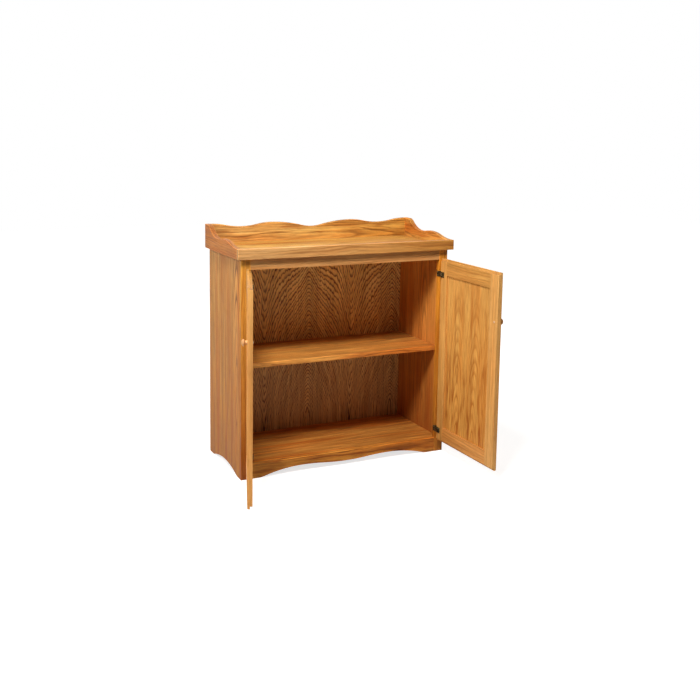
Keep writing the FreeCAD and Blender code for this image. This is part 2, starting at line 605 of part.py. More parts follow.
class Door:
    """One door: the left one's u runs towards +x (way 1), the right one's towards -x (way -1)."""

    def __init__(self, name, way, angle):
        self.name = name
        self.way = way
        self.angle = angle

    def label(self, piece):
        return "%s_door_%s" % (self.name, piece)

    def across(self, *u):
        """Places across the door as x in the door's frame, lower one first."""
        return in_order(tuple(as_size(place) * self.way for place in u))

    def hang(self, item):
        """Turns an item drawn in the door's frame to where the open door stands."""
        axis = Vector(0, 0, -self.way)
        item.Placement = Placement(Vector(), Rotation(axis, self.angle.number))
        item.setExpression("Placement.Rotation.Angle", self.angle.text)
        bind_place(item, hinge_axis_x * -self.way, -hinge_forward)

    def cut_rabbets(self, body, u, at_hinge=False, at_top=True, at_bottom=True):
        """The rabbets behind the lip, along the edges of this piece that are edges of the door."""
        behind = (lip_back, door_back)
        if at_top:
            cut_block(body, self.across(*u), behind, (door_top - lip_width, door_top))
        if at_bottom:
            cut_block(body, self.across(*u), behind, (door_bottom, door_bottom + lip_width))
        if at_hinge:
            between = (door_bottom + lip_width, door_top - lip_width)
            cut_block(body, self.across(hinge_edge, step_edge), behind, between)

    def groove_span(self):
        middle = door_front + door_thickness / 2
        return (middle - panel_thickness / 2, middle + panel_thickness / 2)

    def stile(self, piece, u, groove, at_hinge):
        """A full-length stile with the panel groove along its inner edge."""
        body = board(self.label(piece), self.across(*u), (door_front, door_back), (door_bottom, door_top))
        self.cut_rabbets(body, u, at_hinge=at_hinge)
        cut_block(body, self.across(*groove), self.groove_span(), (door_bottom, door_top))
        return body

    def build_stiles(self):
        edge_at_front = {"y": door_front}
        ends = [{"z": door_top, **edge_at_front}, {"z": door_bottom, **edge_at_front}]

        hinge_stile = self.stile("hinge_stile", (hinge_edge, hinge_stile_inner),
                                 (hinge_stile_inner - panel_groove, hinge_stile_inner), True)
        holes = [((step_edge + leaf_hole_place) * self.way, middle + leaf_hole_spacing / 2 * up)
                 for middle in hinge_heights() for up in (-1, 1)]
        drill(hinge_stile, "XZ_Plane", holes, hinge_screw_radius + running_clearance,
              door_back - hinge_screw_reach - running_clearance, hinge_screw_reach + running_clearance)
        outer = {"x": hinge_edge * self.way, **edge_at_front}
        round_edges(hinge_stile, lip_round, outer, *ends)
        self.hang(hinge_stile)

        meeting_stile = self.stile("meeting_stile", (meeting_stile_inner, meeting_edge),
                                   (meeting_stile_inner, meeting_stile_inner + panel_groove), False)
        drill(meeting_stile, "XZ_Plane", [(knob_place * self.way, knob_height)],
              knob_screw_radius + running_clearance, door_front, door_thickness)
        round_edges(meeting_stile, lip_round, *ends)
        self.hang(meeting_stile)

    def build_rails(self):
        inner = (hinge_stile_inner, meeting_stile_inner)
        tenon = panel_groove - panel_play
        with_tenons = (hinge_stile_inner - tenon, meeting_stile_inner + tenon)
        for piece, low, high, groove, outside in (
            ("top_rail", door_top - door_rail_width, door_top,
             (door_top - door_rail_width, door_top - door_rail_width + panel_groove), door_top),
            ("bottom_rail", door_bottom, door_bottom + door_rail_width,
             (door_bottom + door_rail_width - panel_groove, door_bottom + door_rail_width), door_bottom),
        ):
            rail = board(self.label(piece), self.across(*inner), (door_front, door_back), (low, high))
            add_block(rail, self.across(*with_tenons), self.groove_span(), (low, high))
            at_top = outside is door_top
            self.cut_rabbets(rail, with_tenons, at_top=at_top, at_bottom=not at_top)
            cut_block(rail, self.across(*with_tenons), self.groove_span(), groove)
            round_edges(rail, lip_round, {"y": door_front, "z": outside})
            self.hang(rail)

    def build_panel(self):
        reach = panel_groove - panel_play
        panel = board(
            self.label("panel"),
            self.across(hinge_stile_inner - reach, meeting_stile_inner + reach),
            self.groove_span(),
            (door_bottom + door_rail_width - reach, door_top - door_rail_width + reach),
        )
        self.hang(panel)

    def build_knob(self):
        """A turned knob: a foot, a cove, a flare, a rim and a low dome, round a blind screw hole."""
        body = new_body(self.label("knob"))
        sketch = sketch_on(body, "YZ_Plane", knob_place * self.way)
        hole = knob_height + knob_screw_radius + running_clearance
        outline = Outline(sketch, door_front, hole)
        outline.line_to(door_front, knob_height + knob_foot_radius)
        outline.line_to(door_front - knob_foot_length, knob_height + knob_foot_radius)
        outline.cove_to(door_front - knob_cove_end, knob_height + knob_flare_radius, knob_cove_curve)
        outline.line_to(door_front - knob_rim_place, knob_height + knob_radius)
        outline.dome_to(door_front - knob_length, knob_height, knob_rim_curve)
        outline.line_to(door_front - knob_bore_depth, knob_height)
        outline.line_to(door_front - knob_bore_depth, hole)
        outline.close()
        axis = Outline(sketch, door_front, knob_height)
        near = Vector(door_front.number, knob_height.number, 0)
        far = Vector(door_front.number - knob_length.number, knob_height.number, 0)
        index = sketch.addGeometry(Part.LineSegment(near, far), True)
        axis.pin((index, 1), axis.start)
        axis.pin((index, 2), (door_front - knob_length, knob_height))
        turned = body.newObject("PartDesign::Revolution", body.Name + "_turned")
        turned.Profile = sketch
        turned.ReferenceAxis = (sketch, ["Axis0"])
        turned.Angle = FULL_TURN
        self.hang(body)

        screw = pan_screw(self.label("knob_screw"), knob_screw_radius, door_thickness + knob_screw_reach,
                          knob_head_radius, knob_head_radius * 0.6, knob_head_height)
        screw.Placement = Placement(Vector(), Rotation(Vector(1, 0, 0), -90))
        bind_place(screw, knob_place * self.way, door_back, knob_height)
        self.hang(group(self.label("knob_screw"), [screw]))

    def build_door_leaves(self):
        """The leaves that wrap round the door's rabbet, each with its closing spring's box."""
        for height, middle in zip(("lower", "upper"), hinge_heights()):
            body = new_body("%s_%s_hinge_door_leaf" % (self.name, height))
            bottom = middle - leaf_height / 2
            rear = door_back + leaf_thickness
            far = step_edge + leaf_reach
            sketch = sketch_on(body, "XY_Plane", bottom)
            outline = Outline(sketch, hinge_edge * self.way, lip_back)
            outline.line_to(step_edge * self.way, lip_back)
            outline.line_to(step_edge * self.way, door_back)
            outline.line_to(far * self.way, door_back)
            outline.line_to(far * self.way, rear)
            outline.line_to((step_edge - leaf_thickness) * self.way, rear)
            outline.line_to((step_edge - leaf_thickness) * self.way, lip_back + leaf_thickness)
            outline.line_to(hinge_edge * self.way, lip_back + leaf_thickness)
            outline.close()
            extrude("Pad", body, sketch, leaf_height)

            knuckle = (leaf_height - middle_knuckle) / 2 - knuckle_gap
            for start in (bottom, middle + middle_knuckle / 2 + knuckle_gap):
                add_block(body, self.across(ZERO, hinge_edge),
                          (barrel_radius - leaf_thickness, barrel_radius), (start, start + knuckle))
                barrel = sketch_on(body, "XY_Plane", start)
                circles(barrel, [(ZERO, ZERO)], barrel_radius)
                extrude("Pad", body, barrel, knuckle)
            drill(body, "XY_Plane", [(ZERO, ZERO)], pin_radius + running_clearance, bottom, leaf_height)

            box = (step_edge + spring_box_start, step_edge + spring_box_start + spring_box_width)
            box_z = (middle - spring_box_height / 2, middle + spring_box_height / 2)
            box_top = rear + spring_box_depth
            add_block(body, self.across(*box), (rear, box_top), box_z)
            holes = [((step_edge + leaf_hole_place) * self.way, middle + leaf_hole_spacing / 2 * up)
                     for up in (-1, 1)]
            drill(body, "XZ_Plane", holes, hinge_screw_radius + running_clearance, door_back, leaf_thickness)
            round_edges(body, spring_box_round, {"y": box_top, "z": box_z[0]}, {"y": box_top, "z": box_z[1]},
                        {"y": box_top, "x": box[1] * self.way})
            self.hang(body)

    def build_frame_leaves(self):
        """The leaves that wrap the edge of the door opening, and the pins; both stay with the cabinet."""
        axis_x = hinge_axis_x * -self.way
        edge = opening_edge - leaf_thickness
        for height, middle in zip(("lower", "upper"), hinge_heights()):
            body = new_body("%s_%s_hinge_frame_leaf" % (self.name, height))
            bottom = middle - leaf_height / 2
            side = -self.way
            outer = hinge_axis_x + barrel_radius
            sketch = sketch_on(body, "XY_Plane", bottom)
            outline = Outline(sketch, outer * side, ZERO)
            outline.line_to(outer * side, -leaf_thickness)
            outline.line_to(edge * side, -leaf_thickness)
            outline.line_to(edge * side, leaf_tail)
            outline.line_to(opening_edge * side, leaf_tail)
            outline.line_to(opening_edge * side, ZERO)
            outline.close()
            extrude("Pad", body, sketch, leaf_height)

            start = middle - middle_knuckle / 2
            strap = in_order(((outer - leaf_thickness) * side, outer * side))
            add_block(body, strap, (-hinge_forward, ZERO), (start, start + middle_knuckle))
            barrel = sketch_on(body, "XY_Plane", start)
            circles(barrel, [(axis_x, -hinge_forward)], barrel_radius)
            extrude("Pad", body, barrel, middle_knuckle)
            drill(body, "XY_Plane", [(axis_x, -hinge_forward)], pin_radius + running_clearance,
                  start, middle_knuckle)
            holes = [(tail_hole_place, middle + leaf_hole_spacing / 2 * up) for up in (-1, 1)]
            drill(body, "YZ_Plane", holes, hinge_screw_radius + running_clearance,
                  in_order((edge * side, opening_edge * side))[0], leaf_thickness)
            self.build_pin(height, middle, axis_x)

    def build_pin(self, height, middle, axis_x):
        body = new_body("%s_%s_hinge_pin" % (self.name, height))
        half = leaf_height / 2 + running_clearance
        for radius, low, high in (
            (pin_head_radius, -(half + pin_head_height), -half),
            (pin_radius, -half, half),
            (pin_head_radius, half, half + pin_head_height),
        ):
            sketch = sketch_on(body, "XY_Plane", middle + low)
            circles(sketch, [(axis_x, -hinge_forward)], radius)
            extrude("Pad", body, sketch, high - low)

    def build_hinge_screws(self):
        """The screws of the door leaves, which swing, and of the frame leaves, which stay."""
        length = hinge_screw_reach + leaf_thickness
        door_screws = []
        frame_screws = []
        for middle in hinge_heights():
            for up in (-1, 1):
                z = middle + leaf_hole_spacing / 2 * up
                screw = hinge_screw(self.label("leaf_screw"), length)
                screw.Placement = Placement(Vector(), Rotation(Vector(1, 0, 0), -90))
                bind_place(screw, (step_edge + leaf_hole_place) * self.way, door_back + leaf_thickness, z)
                door_screws.append(screw)
                screw = hinge_screw(self.label("tail_screw"), length)
                screw.Placement = Placement(Vector(), Rotation(Vector(0, 1, 0), 90 * self.way))
                bind_place(screw, (opening_edge - leaf_thickness) * -self.way, tail_hole_place, z)
                frame_screws.append(screw)
        self.hang(group(self.label("leaf_screws"), door_screws))
        group("%s_frame_leaf_screws" % self.name, frame_screws)

    def build(self):
        self.build_stiles()
        self.build_rails()
        self.build_panel()
        self.build_knob()
        self.build_door_leaves()
        self.build_frame_leaves()
        self.build_hinge_screws()


# === Screws ======================================================================================
def pan_screw(label, radius, length, head_radius, head_top, head_height):
    """A screw that points along -z from z = 0, with its head above."""
    shank = doc.addObject("Part::Cylinder", label + "_shank")
    shank.setExpression("Radius", radius.text)
    shank.setExpression("Height", length.text)
    shank.setExpression("Placement.Base.z", (-length).text)
    head = doc.addObject("Part::Cone", label + "_head")
    head.setExpression("Radius1", head_radius.text)
    head.setExpression("Radius2", head_top.text)
    head.setExpression("Height", head_height.text)
    screw = doc.addObject("Part::Fuse", label + "_solid")
    screw.Base = shank
    screw.Tool = head
    return screw


def hinge_screw(label, length):
    return pan_screw(label, hinge_screw_radius, length, hinge_head_radius, hinge_head_top,
                     hinge_head_height)


def group(label, items):
    """One node for several like fasteners, each a solid of its own."""
    compound = doc.addObject("Part::Compound", label)
    compound.Label = label
    compound.Links = items
    nodes.append(compound)
    return compound


def build_tray_screws():
    screws = []
    under = carcass_height - stretcher_thickness
    for front in (frame_thickness, box_back - stretcher_width):
        for x, y in deck_screw_places(front):
            screw = pan_screw("tray_screw", deck_screw_radius, stretcher_thickness + deck_screw_reach,
                              deck_head_radius, deck_head_radius * 0.6, deck_head_height)
            screw.Placement = Placement(Vector(), Rotation(Vector(1, 0, 0), 180))
            bind_place(screw, x, y, under)
            screws.append(screw)
    group("tray_screws", screws)


# === Checks and files ============================================================================
def check_and_export():
    """Stops on any failed feature or bad shape, and then writes one STEP file per node."""
    doc.recompute()
    for item in doc.Objects:
        if "Invalid" in item.State or "Error" in item.State:
            raise RuntimeError("%s failed: %s" % (item.Name, item.State))
        if item.TypeId == "Sketcher::SketchObject" and not item.FullyConstrained:
            raise RuntimeError("%s isn't fully constrained" % item.Name)
        if item.TypeId == "PartDesign::Pocket":
            removed = item.BaseFeature.Shape.Volume - item.Shape.Volume
            if removed <= TOLERANCE:
                raise RuntimeError("%s cuts nothing" % item.Name)
    os.makedirs("parts", exist_ok=True)
    for node in nodes:
        shape = node.Shape
        if shape.isNull() or not shape.isValid():
            raise RuntimeError("%s has a bad shape" % node.Label)
        expected = len(node.Links) if node.TypeId == "Part::Compound" else 1
        if len(shape.Solids) != expected:
            raise RuntimeError("%s holds %d solids, not %d" % (node.Label, len(shape.Solids), expected))
        shape.exportStep("parts/%s.step" % node.Label)
    print("%d nodes written" % len(nodes))


build_carcass()
build_face_frame()
build_tray()
Door("left", 1, left_door_angle).build()
Door("right", -1, right_door_angle).build()
build_tray_screws()
check_and_export()
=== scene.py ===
import json
import math

import bmesh
import bpy
from bpy.props import FloatProperty, FloatVectorProperty, PointerProperty
from mathutils import Matrix, Vector


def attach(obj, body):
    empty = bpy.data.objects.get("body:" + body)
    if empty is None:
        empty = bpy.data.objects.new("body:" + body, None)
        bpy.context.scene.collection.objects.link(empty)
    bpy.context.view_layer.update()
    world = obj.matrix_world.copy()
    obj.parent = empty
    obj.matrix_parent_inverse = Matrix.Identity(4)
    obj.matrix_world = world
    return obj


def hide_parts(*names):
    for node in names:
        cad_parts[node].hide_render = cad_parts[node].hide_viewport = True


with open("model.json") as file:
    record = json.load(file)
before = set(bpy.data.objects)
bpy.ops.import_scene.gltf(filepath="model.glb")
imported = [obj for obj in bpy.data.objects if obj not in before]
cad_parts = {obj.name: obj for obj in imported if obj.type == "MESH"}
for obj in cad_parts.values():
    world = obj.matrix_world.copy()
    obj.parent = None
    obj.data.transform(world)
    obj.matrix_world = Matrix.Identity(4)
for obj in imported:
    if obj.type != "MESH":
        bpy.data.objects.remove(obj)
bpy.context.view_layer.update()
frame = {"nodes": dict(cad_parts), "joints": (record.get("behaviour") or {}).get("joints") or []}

bl_info = {
    "name": "Dry Sink Cabinet",
    "version": (1, 0, 0),
    "blender": (4, 5, 0),
    "location": "3D View > Sidebar > Dry Sink",
    "description": "Dresses the packed cabinet in stained oak, bronze hinges and steel screws",
    "category": "Object",
}

MM = 0.001
AXES = {"x": 0, "y": 1, "z": 2}
SIDES = ("left", "right")

# How a mesh copied from the CAD is cleaned, and its edges told apart.
WELD = 0.001 * MM               # points nearer than this become one
FLAT = math.radians(1)          # faces that turn less than this become one
SHARP = math.radians(35)        # an edge that turns more than this gets an arris
CREASE = math.radians(38)       # an edge that turns more than this stays a crease in the shading
SHORTEST_BOARD_EDGE = 3.5 * MM  # a shorter edge belongs to a curve and gets no arris
SHORTEST_METAL_EDGE = 2.0 * MM
LONGER_THAN_ANY_EDGE = 1000 * MM

# Which faces of a board are its ends and edges, and how much stain they drink, from -1 (paler
# than the board) to 1 (darkest, as on a sawn end).
END_GRAIN_FROM = 0.25           # a face that leans less towards the grain shows no open ends
BANDSAWN = 0.55                 # a wavy long edge, where the saw crossed the grain
LIPPED = -0.5                   # a strip of paler wood along a front edge
EDGE_ON = 0.7                   # how far a face must lean to count as an edge of the board

# What the stain, the sanding and the varnish do to a board, and the painted highlight on an arris.
END_CUT_SHADE = -0.34           # brightness lost where a face drinks all it can
ARRIS_SANDING_AND_HIGHLIGHT = 0.5               # brightness gained on an arris: sanded paler, and a painted highlight
PORE_DARKNESS = 0.4             # how far a pore's colour goes towards the darkest stain
FIBRE_CONTRAST = 0.26           # brightness from the darkest to the palest fibres, times mottle
FIBRE_LOSS = 0.14               # brightness that the darkest fibres lose, times mottle
VARNISH_ROUGHNESS = 0.42
VARNISH_SPECULAR = 0.2          # under the default: pores break the gloss up
RELIEF = 0.25 * MM              # how deep the open pores and the early wood sink

# Second colours, beside the ones in the sidebar.
PINE_LINES = "#b98750"          # the orange late wood of bare pine
DULL_ZINC = "#bb9d7c"           # where the passivation has gone dull

# How many patches and grains of grit fit in a metre of metal: patches of 6.3 and 2.4 mm, and grit
# of 0.4 mm.
BRONZE_PATCHES, ZINC_PATCHES, BRONZE_GRIT = 160.0, 420.0, 2500.0

# The two bars of the cross in a screw's head, in radii of the head. Half their depth sinks in.
CROSS_WIDTH, CROSS_LENGTH, CROSS_DEPTH = 0.26, 1.25, 0.7

# The studio, in metres and degrees.
FLOOR_HALF = 9.0
SHADOW_GLOW = 0.72              # the paper's glow under the cabinet, where its shadow stays faint
SHADOW_REACH = (1.0, 2.6)       # from the middle: where the shadow starts to fade, and has gone
FLOOR_IN_GLOSS = 0.4            # how brightly the varnish mirrors the paper
LAMPS_AIM = (0.0, 0.0, 0.5)
LAMPS_AWAY = 3.4
CAMERA_PLACE = (-1.7076, -3.4911, 1.4005)
CAMERA_TURN = (26.089, -7.642, 0.907)  # yaw, pitch and roll
CAMERA_SENSOR, CAMERA_LENS, CAMERA_SHIFT = 36.0, 50.488, -0.1390  # mm, mm, widths of the view


# === Small helpers ===============================================================================
def linear(hex_colour):
    """An sRGB hex colour as the three linear numbers that the shaders work in."""
    values = [int(hex_colour[i:i + 2], 16) / 255 for i in (1, 3, 5)]
    return [v / 12.92 if v <= 0.04045 else ((v + 0.055) / 1.055) ** 2.4 for v in values]


def add(tree, kind, inputs=None, stops=None, **settings):
    """Adds a shader node with its settings. An input is a number, a colour or a socket."""
    node = tree.nodes.new("ShaderNode" + kind)
    for name, value in settings.items():
        setattr(node, name, value)
    for key, value in (inputs or {}).items():
        if isinstance(value, bpy.types.NodeSocket):
            tree.links.new(value, node.inputs[key])
        else:
            node.inputs[key].default_value = value
    for index, (place, colour) in enumerate(stops or ()):
        ramp = node.color_ramp.elements
        stop = ramp[index] if index < 2 else ramp.new(place)
        stop.position = place
        stop.color = (*colour, 1)
    return node


def new_material(name):
    """An empty material and its tree, with the surface shader already in place."""
    material = bpy.data.materials.new(name)
    material.use_nodes = True
    tree = material.node_tree
    tree.nodes.clear()
    surface = add(tree, "BsdfPrincipled")
    add(tree, "OutputMaterial", {"Surface": surface.outputs["BSDF"]})
    return material, tree, surface


# === Sizes and colours that a user would change ==================================================
class OakColours(bpy.types.PropertyGroup):
    light: FloatVectorProperty(
        name="Early wood", description="Palest oak between the growth rings, under the stain",
        subtype="COLOR", min=0, max=1, default=linear("#e6b46c"))
    middle: FloatVectorProperty(
        name="Body", description="The honey stain over most of the oak",
        subtype="COLOR", min=0, max=1, default=linear("#cd9049"))
    amber: FloatVectorProperty(
        name="Amber", description="Redder streaks where the stain went on heavier",
        subtype="COLOR", min=0, max=1, default=linear("#ca7c36"))
    fleck: FloatVectorProperty(
        name="Flecks",
        description="Brown flecks of a restless board, and the lines of the door panels",
        subtype="COLOR", min=0, max=1, default=linear("#a8622a"))
    dark: FloatVectorProperty(
        name="Pores", description="Stain that has gathered in the open pores of a growth ring",
        subtype="COLOR", min=0, max=1, default=linear("#6a3c19"))
    pine: FloatVectorProperty(
        name="Softwood", description="Bare pine of the hidden stretchers and blocks",
        subtype="COLOR", min=0, max=1, default=linear("#d9b98a"))


class HardwareColours(bpy.types.PropertyGroup):
    bronze: FloatVectorProperty(
        name="Antique bronze", description="Dark lacquered bronze of the hinges",
        subtype="COLOR", min=0, max=1, default=linear("#2c2618"))
    worn: FloatVectorProperty(
        name="Worn bronze",
        description="Where hands and the other leaf have rubbed the lacquer thin",
        subtype="COLOR", min=0, max=1, default=linear("#94845c"))
    zinc: FloatVectorProperty(
        name="Yellow zinc", description="Yellow-passivated zinc of the knob and tray screws",
        subtype="COLOR", min=0, max=1, default=linear("#e0c4a4"))


class EdgeSizes(bpy.types.PropertyGroup):
    board: FloatProperty(
        name="Board arris", description="Rounding that sandpaper leaves on the edges of a board",
        unit="LENGTH", min=0, default=1.8 * MM)
    joint: FloatProperty(
        name="Joint arris", description="Rounding of the edges that meet in a joint",
        unit="LENGTH", min=0, default=0.45 * MM)
    metal: FloatProperty(
        name="Metal edge", description="Rounding of the stamped edges of the hinges",
        unit="LENGTH", min=0, default=0.3 * MM)
    turned: FloatProperty(
        name="Knob edge", description="Rounding of the turned edges of the knobs",
        unit="LENGTH", min=0, default=0.2 * MM)


class StudioSettings(bpy.types.PropertyGroup):
    key_power: FloatProperty(
        name="Key light", description="Power of the main light, high up and to the left",
        subtype="POWER", min=0, default=114)
    side_power: FloatProperty(
        name="Side light", description="Power of the large soft light low on the left",
        subtype="POWER", min=0, default=68)
    right_power: FloatProperty(
        name="Right light", description="Power of the large soft light on the right",
        subtype="POWER", min=0, default=36)
    back_power: FloatProperty(
        name="Back light",
        description="Power of the large soft light behind, which lights the back panel",
        subtype="POWER", min=0, default=32)
    fill: FloatProperty(
        name="Fill", description="Strength of the even light from all round",
        min=0, default=0.025)
    floor: FloatVectorProperty(
        name="Floor", description="Colour of the studio floor",
        subtype="COLOR", min=0, max=1, default=linear("#c8c7c4"))


class DrySinkSettings(bpy.types.PropertyGroup):
    oak: PointerProperty(type=OakColours, name="Oak", description="Colours of the wood")
    hardware: PointerProperty(type=HardwareColours, name="Hardware",
                              description="Colours of the metal")
    edges: PointerProperty(type=EdgeSizes, name="Edges", description="Rounding of the boards")
    studio: PointerProperty(type=StudioSettings, name="Studio", description="Lights and floor")


def settings():
    """The sizes and colours that stand in the sidebar."""
    return bpy.context.scene.dry_sink


# === Wood ========================================================================================
# Every wooden piece carries its own grain in its mesh: "grain" is each point's place along the
# board, across it and through it, in metres from its middle, so the pattern follows the board
# however a door swings. "log" says where in the log it was cut: a seed, and how far off the pith
# lies, across and below. "tint" is the board's own shade, and where it runs
# from one shade to another along the board, that change is painted light and shade. "end_cut"
# marks sawn ends, and "arris" marks rounded edges.
#
# In a look, lengths are in millimetres: the spacing of the growth rings, how far they wander and
# jitter. Real rings are 2 to 4 mm apart, which would run together from across a room, so they are
# drawn about three times as far apart. "slope" is how far the pith leans along the board. "line"
# and "faint" are the strongest and faintest the rings are drawn, "band", "mottle", "amber" and
# "figure" how much the wood between them varies, and "years" how uneven the rings' widths are.
# "fade" is how much of the drawing a board loses in each metre towards its upper end, "tone" how
# brightly it took the stain, and "ink" the colour of its lines. "leaves" are strips of sliced
# veneer (width, place of the first), and "arches" the columns of a peeled one (pitch, place, rise,
# foot, lean).
OAK_LOOKS = {
    # Quiet, nearly straight boards of the door frames.
    "plain_boards": dict(ring=8, slope=0.02, wander=5, jitter=0.8, line=0.3, faint=0.3, band=0.6,
                         years=1.4, mottle=0.7, amber=0.45, figure=0.1),
    # Flat-sawn boards of the face frame and the tray, with lines nearly as long as the board.
    "calm_boards": dict(ring=7.5, slope=0.03, wander=12, jitter=1.0, line=0.58, faint=0.1,
                        band=0.8, years=2.6, mottle=0.8, amber=0.5, figure=0.2),
    # Boards from near the bark, with wide and restless rings and darker flecks.
    "bold_boards": dict(ring=12, slope=0.05, wander=24, jitter=2.0, line=1.0, faint=0.05, band=0.9,
                        years=2.4, mottle=1.2, amber=0.9, figure=0.75),
    # Peeled veneer of the back: columns of arches that point up and down in turn.
    "back": dict(ring=8.5, slope=0.36, wander=9, jitter=4.5, line=1.35, faint=0.4, band=0.7,
                 years=1.0, mottle=1.0, amber=0.2, figure=0.0, tone=1.45,
                 arches=(412, -14, 152, -330, 0.14)),
    # Sliced veneer of the side: nearly straight lines, and a chain of small arches at the front.
    "sides": dict(ring=8, slope=0.065, wander=5, jitter=1.0, line=1.05, faint=0.2, band=0.75,
                  years=1.6, mottle=0.8, amber=0.9, figure=0.3, leaves=(340, -148)),
    # Knobs, turned from a piece with hardly any figure and stained paler.
    "turned": dict(ring=4, slope=0.02, wander=2, jitter=0.5, line=0.25, faint=0.1, band=0.3,
                   years=0.6, mottle=0.4, amber=0.2, figure=0.0, tone=0.98),
    # A quieter sheet from the same veneer, for the other side.
    "quiet_sides": dict(ring=9.5, slope=0.05, wander=5, jitter=0.8, line=0.6, faint=0.15, band=0.6,
                        years=1.6, mottle=0.75, amber=0.7, figure=0.2, tone=1.12,
                        leaves=(340, -148)),
    # Sliced veneer of the door panels: two chains of long arches.
    "door": dict(ring=6.5, slope=0.11, wander=9, jitter=1.8, line=1.0, faint=0.1, band=0.4,
                 years=1.8, mottle=0.6, amber=0.7, figure=0.7, fade=2.0, ink="fleck",
                 leaves=(125, -52)),
    # Veneered shelf, deck and tray floor, grain from side to side.
    "shelf": dict(ring=9, slope=0.035, wander=12, jitter=1.5, line=1.0, faint=0.1, band=0.9,
                  years=1.8, mottle=1.2, amber=1.0, figure=0.5, leaves=(250, 30)),
}


def growth_field(tree, look, grain, log, noises):
    """How far each point is from the pith, in metres, counted across the growth rings.

    A sawn board is a flat cut through leaning cylinders, and a sliced sheet is leaf beside leaf of
    the same. A peeled sheet has columns of arches instead: a wave across it that climbs with the
    height."""
    along, across, depth = add(tree, "SeparateXYZ", {0: grain}).outputs
    pith_across, pith_below = add(tree, "SeparateXYZ", {0: log}).outputs[1:]
    sway = add(tree, "Math", {0: noises["slow"], 1: noises["quick"]}, operation="ADD")
    sway = add(tree, "Math", {0: sway.outputs[0], 1: noises["fine"]}, operation="ADD").outputs[0]
    sideways = add(tree, "Math", {0: across, 1: pith_across}, operation="SUBTRACT").outputs[0]
    if "arches" in look:
        pitch, place, rise, foot = (value * MM for value in look["arches"][:4])
        turn = add(tree, "Math", {0: sideways, 1: -place}, operation="ADD")
        turn = add(tree, "Math", {0: turn.outputs[0], 1: 2 * math.pi / pitch},
                   operation="MULTIPLY")
        column = add(tree, "Math", {0: turn.outputs[0]}, operation="COSINE").outputs[0]
        # The arcsine turns the wave into arches, with their points kept a little round.
        point = add(tree, "Math", {0: column, 1: 0.985}, operation="MULTIPLY")
        point = add(tree, "Math", {0: point.outputs[0]}, operation="ARCSINE")
        arch = add(tree, "Math", {0: point.outputs[0], 1: -rise * 2 / math.pi, 2: sway},
                   operation="MULTIPLY_ADD").outputs[0]
        # Above their foot the lines close into arches, and below it they run straight down.
        above = add(tree, "Math", {0: along, 1: foot}, operation="SUBTRACT")
        above = add(tree, "Math", {0: above.outputs[0], 1: 0.0, 2: 60 * MM},
                    operation="SMOOTH_MAX").outputs[0]
        climb = add(tree, "Math", {0: column, 1: look["arches"][4], 2: look["slope"]},
                    operation="MULTIPLY_ADD").outputs[0]
        return add(tree, "Math", {0: above, 1: climb, 2: arch},
                   operation="MULTIPLY_ADD").outputs[0]
    sideways = add(tree, "Math", {0: sideways, 1: sway}, operation="ADD").outputs[0]
    if "leaves" in look:
        width, place = (value * MM for value in look["leaves"])
        sideways = add(tree, "Math", {0: sideways, 1: -place}, operation="ADD")
        sideways = add(tree, "Math", {0: sideways.outputs[0], 1: width / 2},
                       operation="PINGPONG").outputs[0]
    below = add(tree, "Math", {0: along, 1: look["slope"], 2: depth}, operation="MULTIPLY_ADD")
    below = add(tree, "Math", {0: below.outputs[0], 1: pith_below}, operation="ADD")
    radius = add(tree, "CombineXYZ", {0: sideways, 1: below.outputs[0]})
    return add(tree, "VectorMath", {0: radius.outputs[0]}, operation="LENGTH").outputs["Value"]


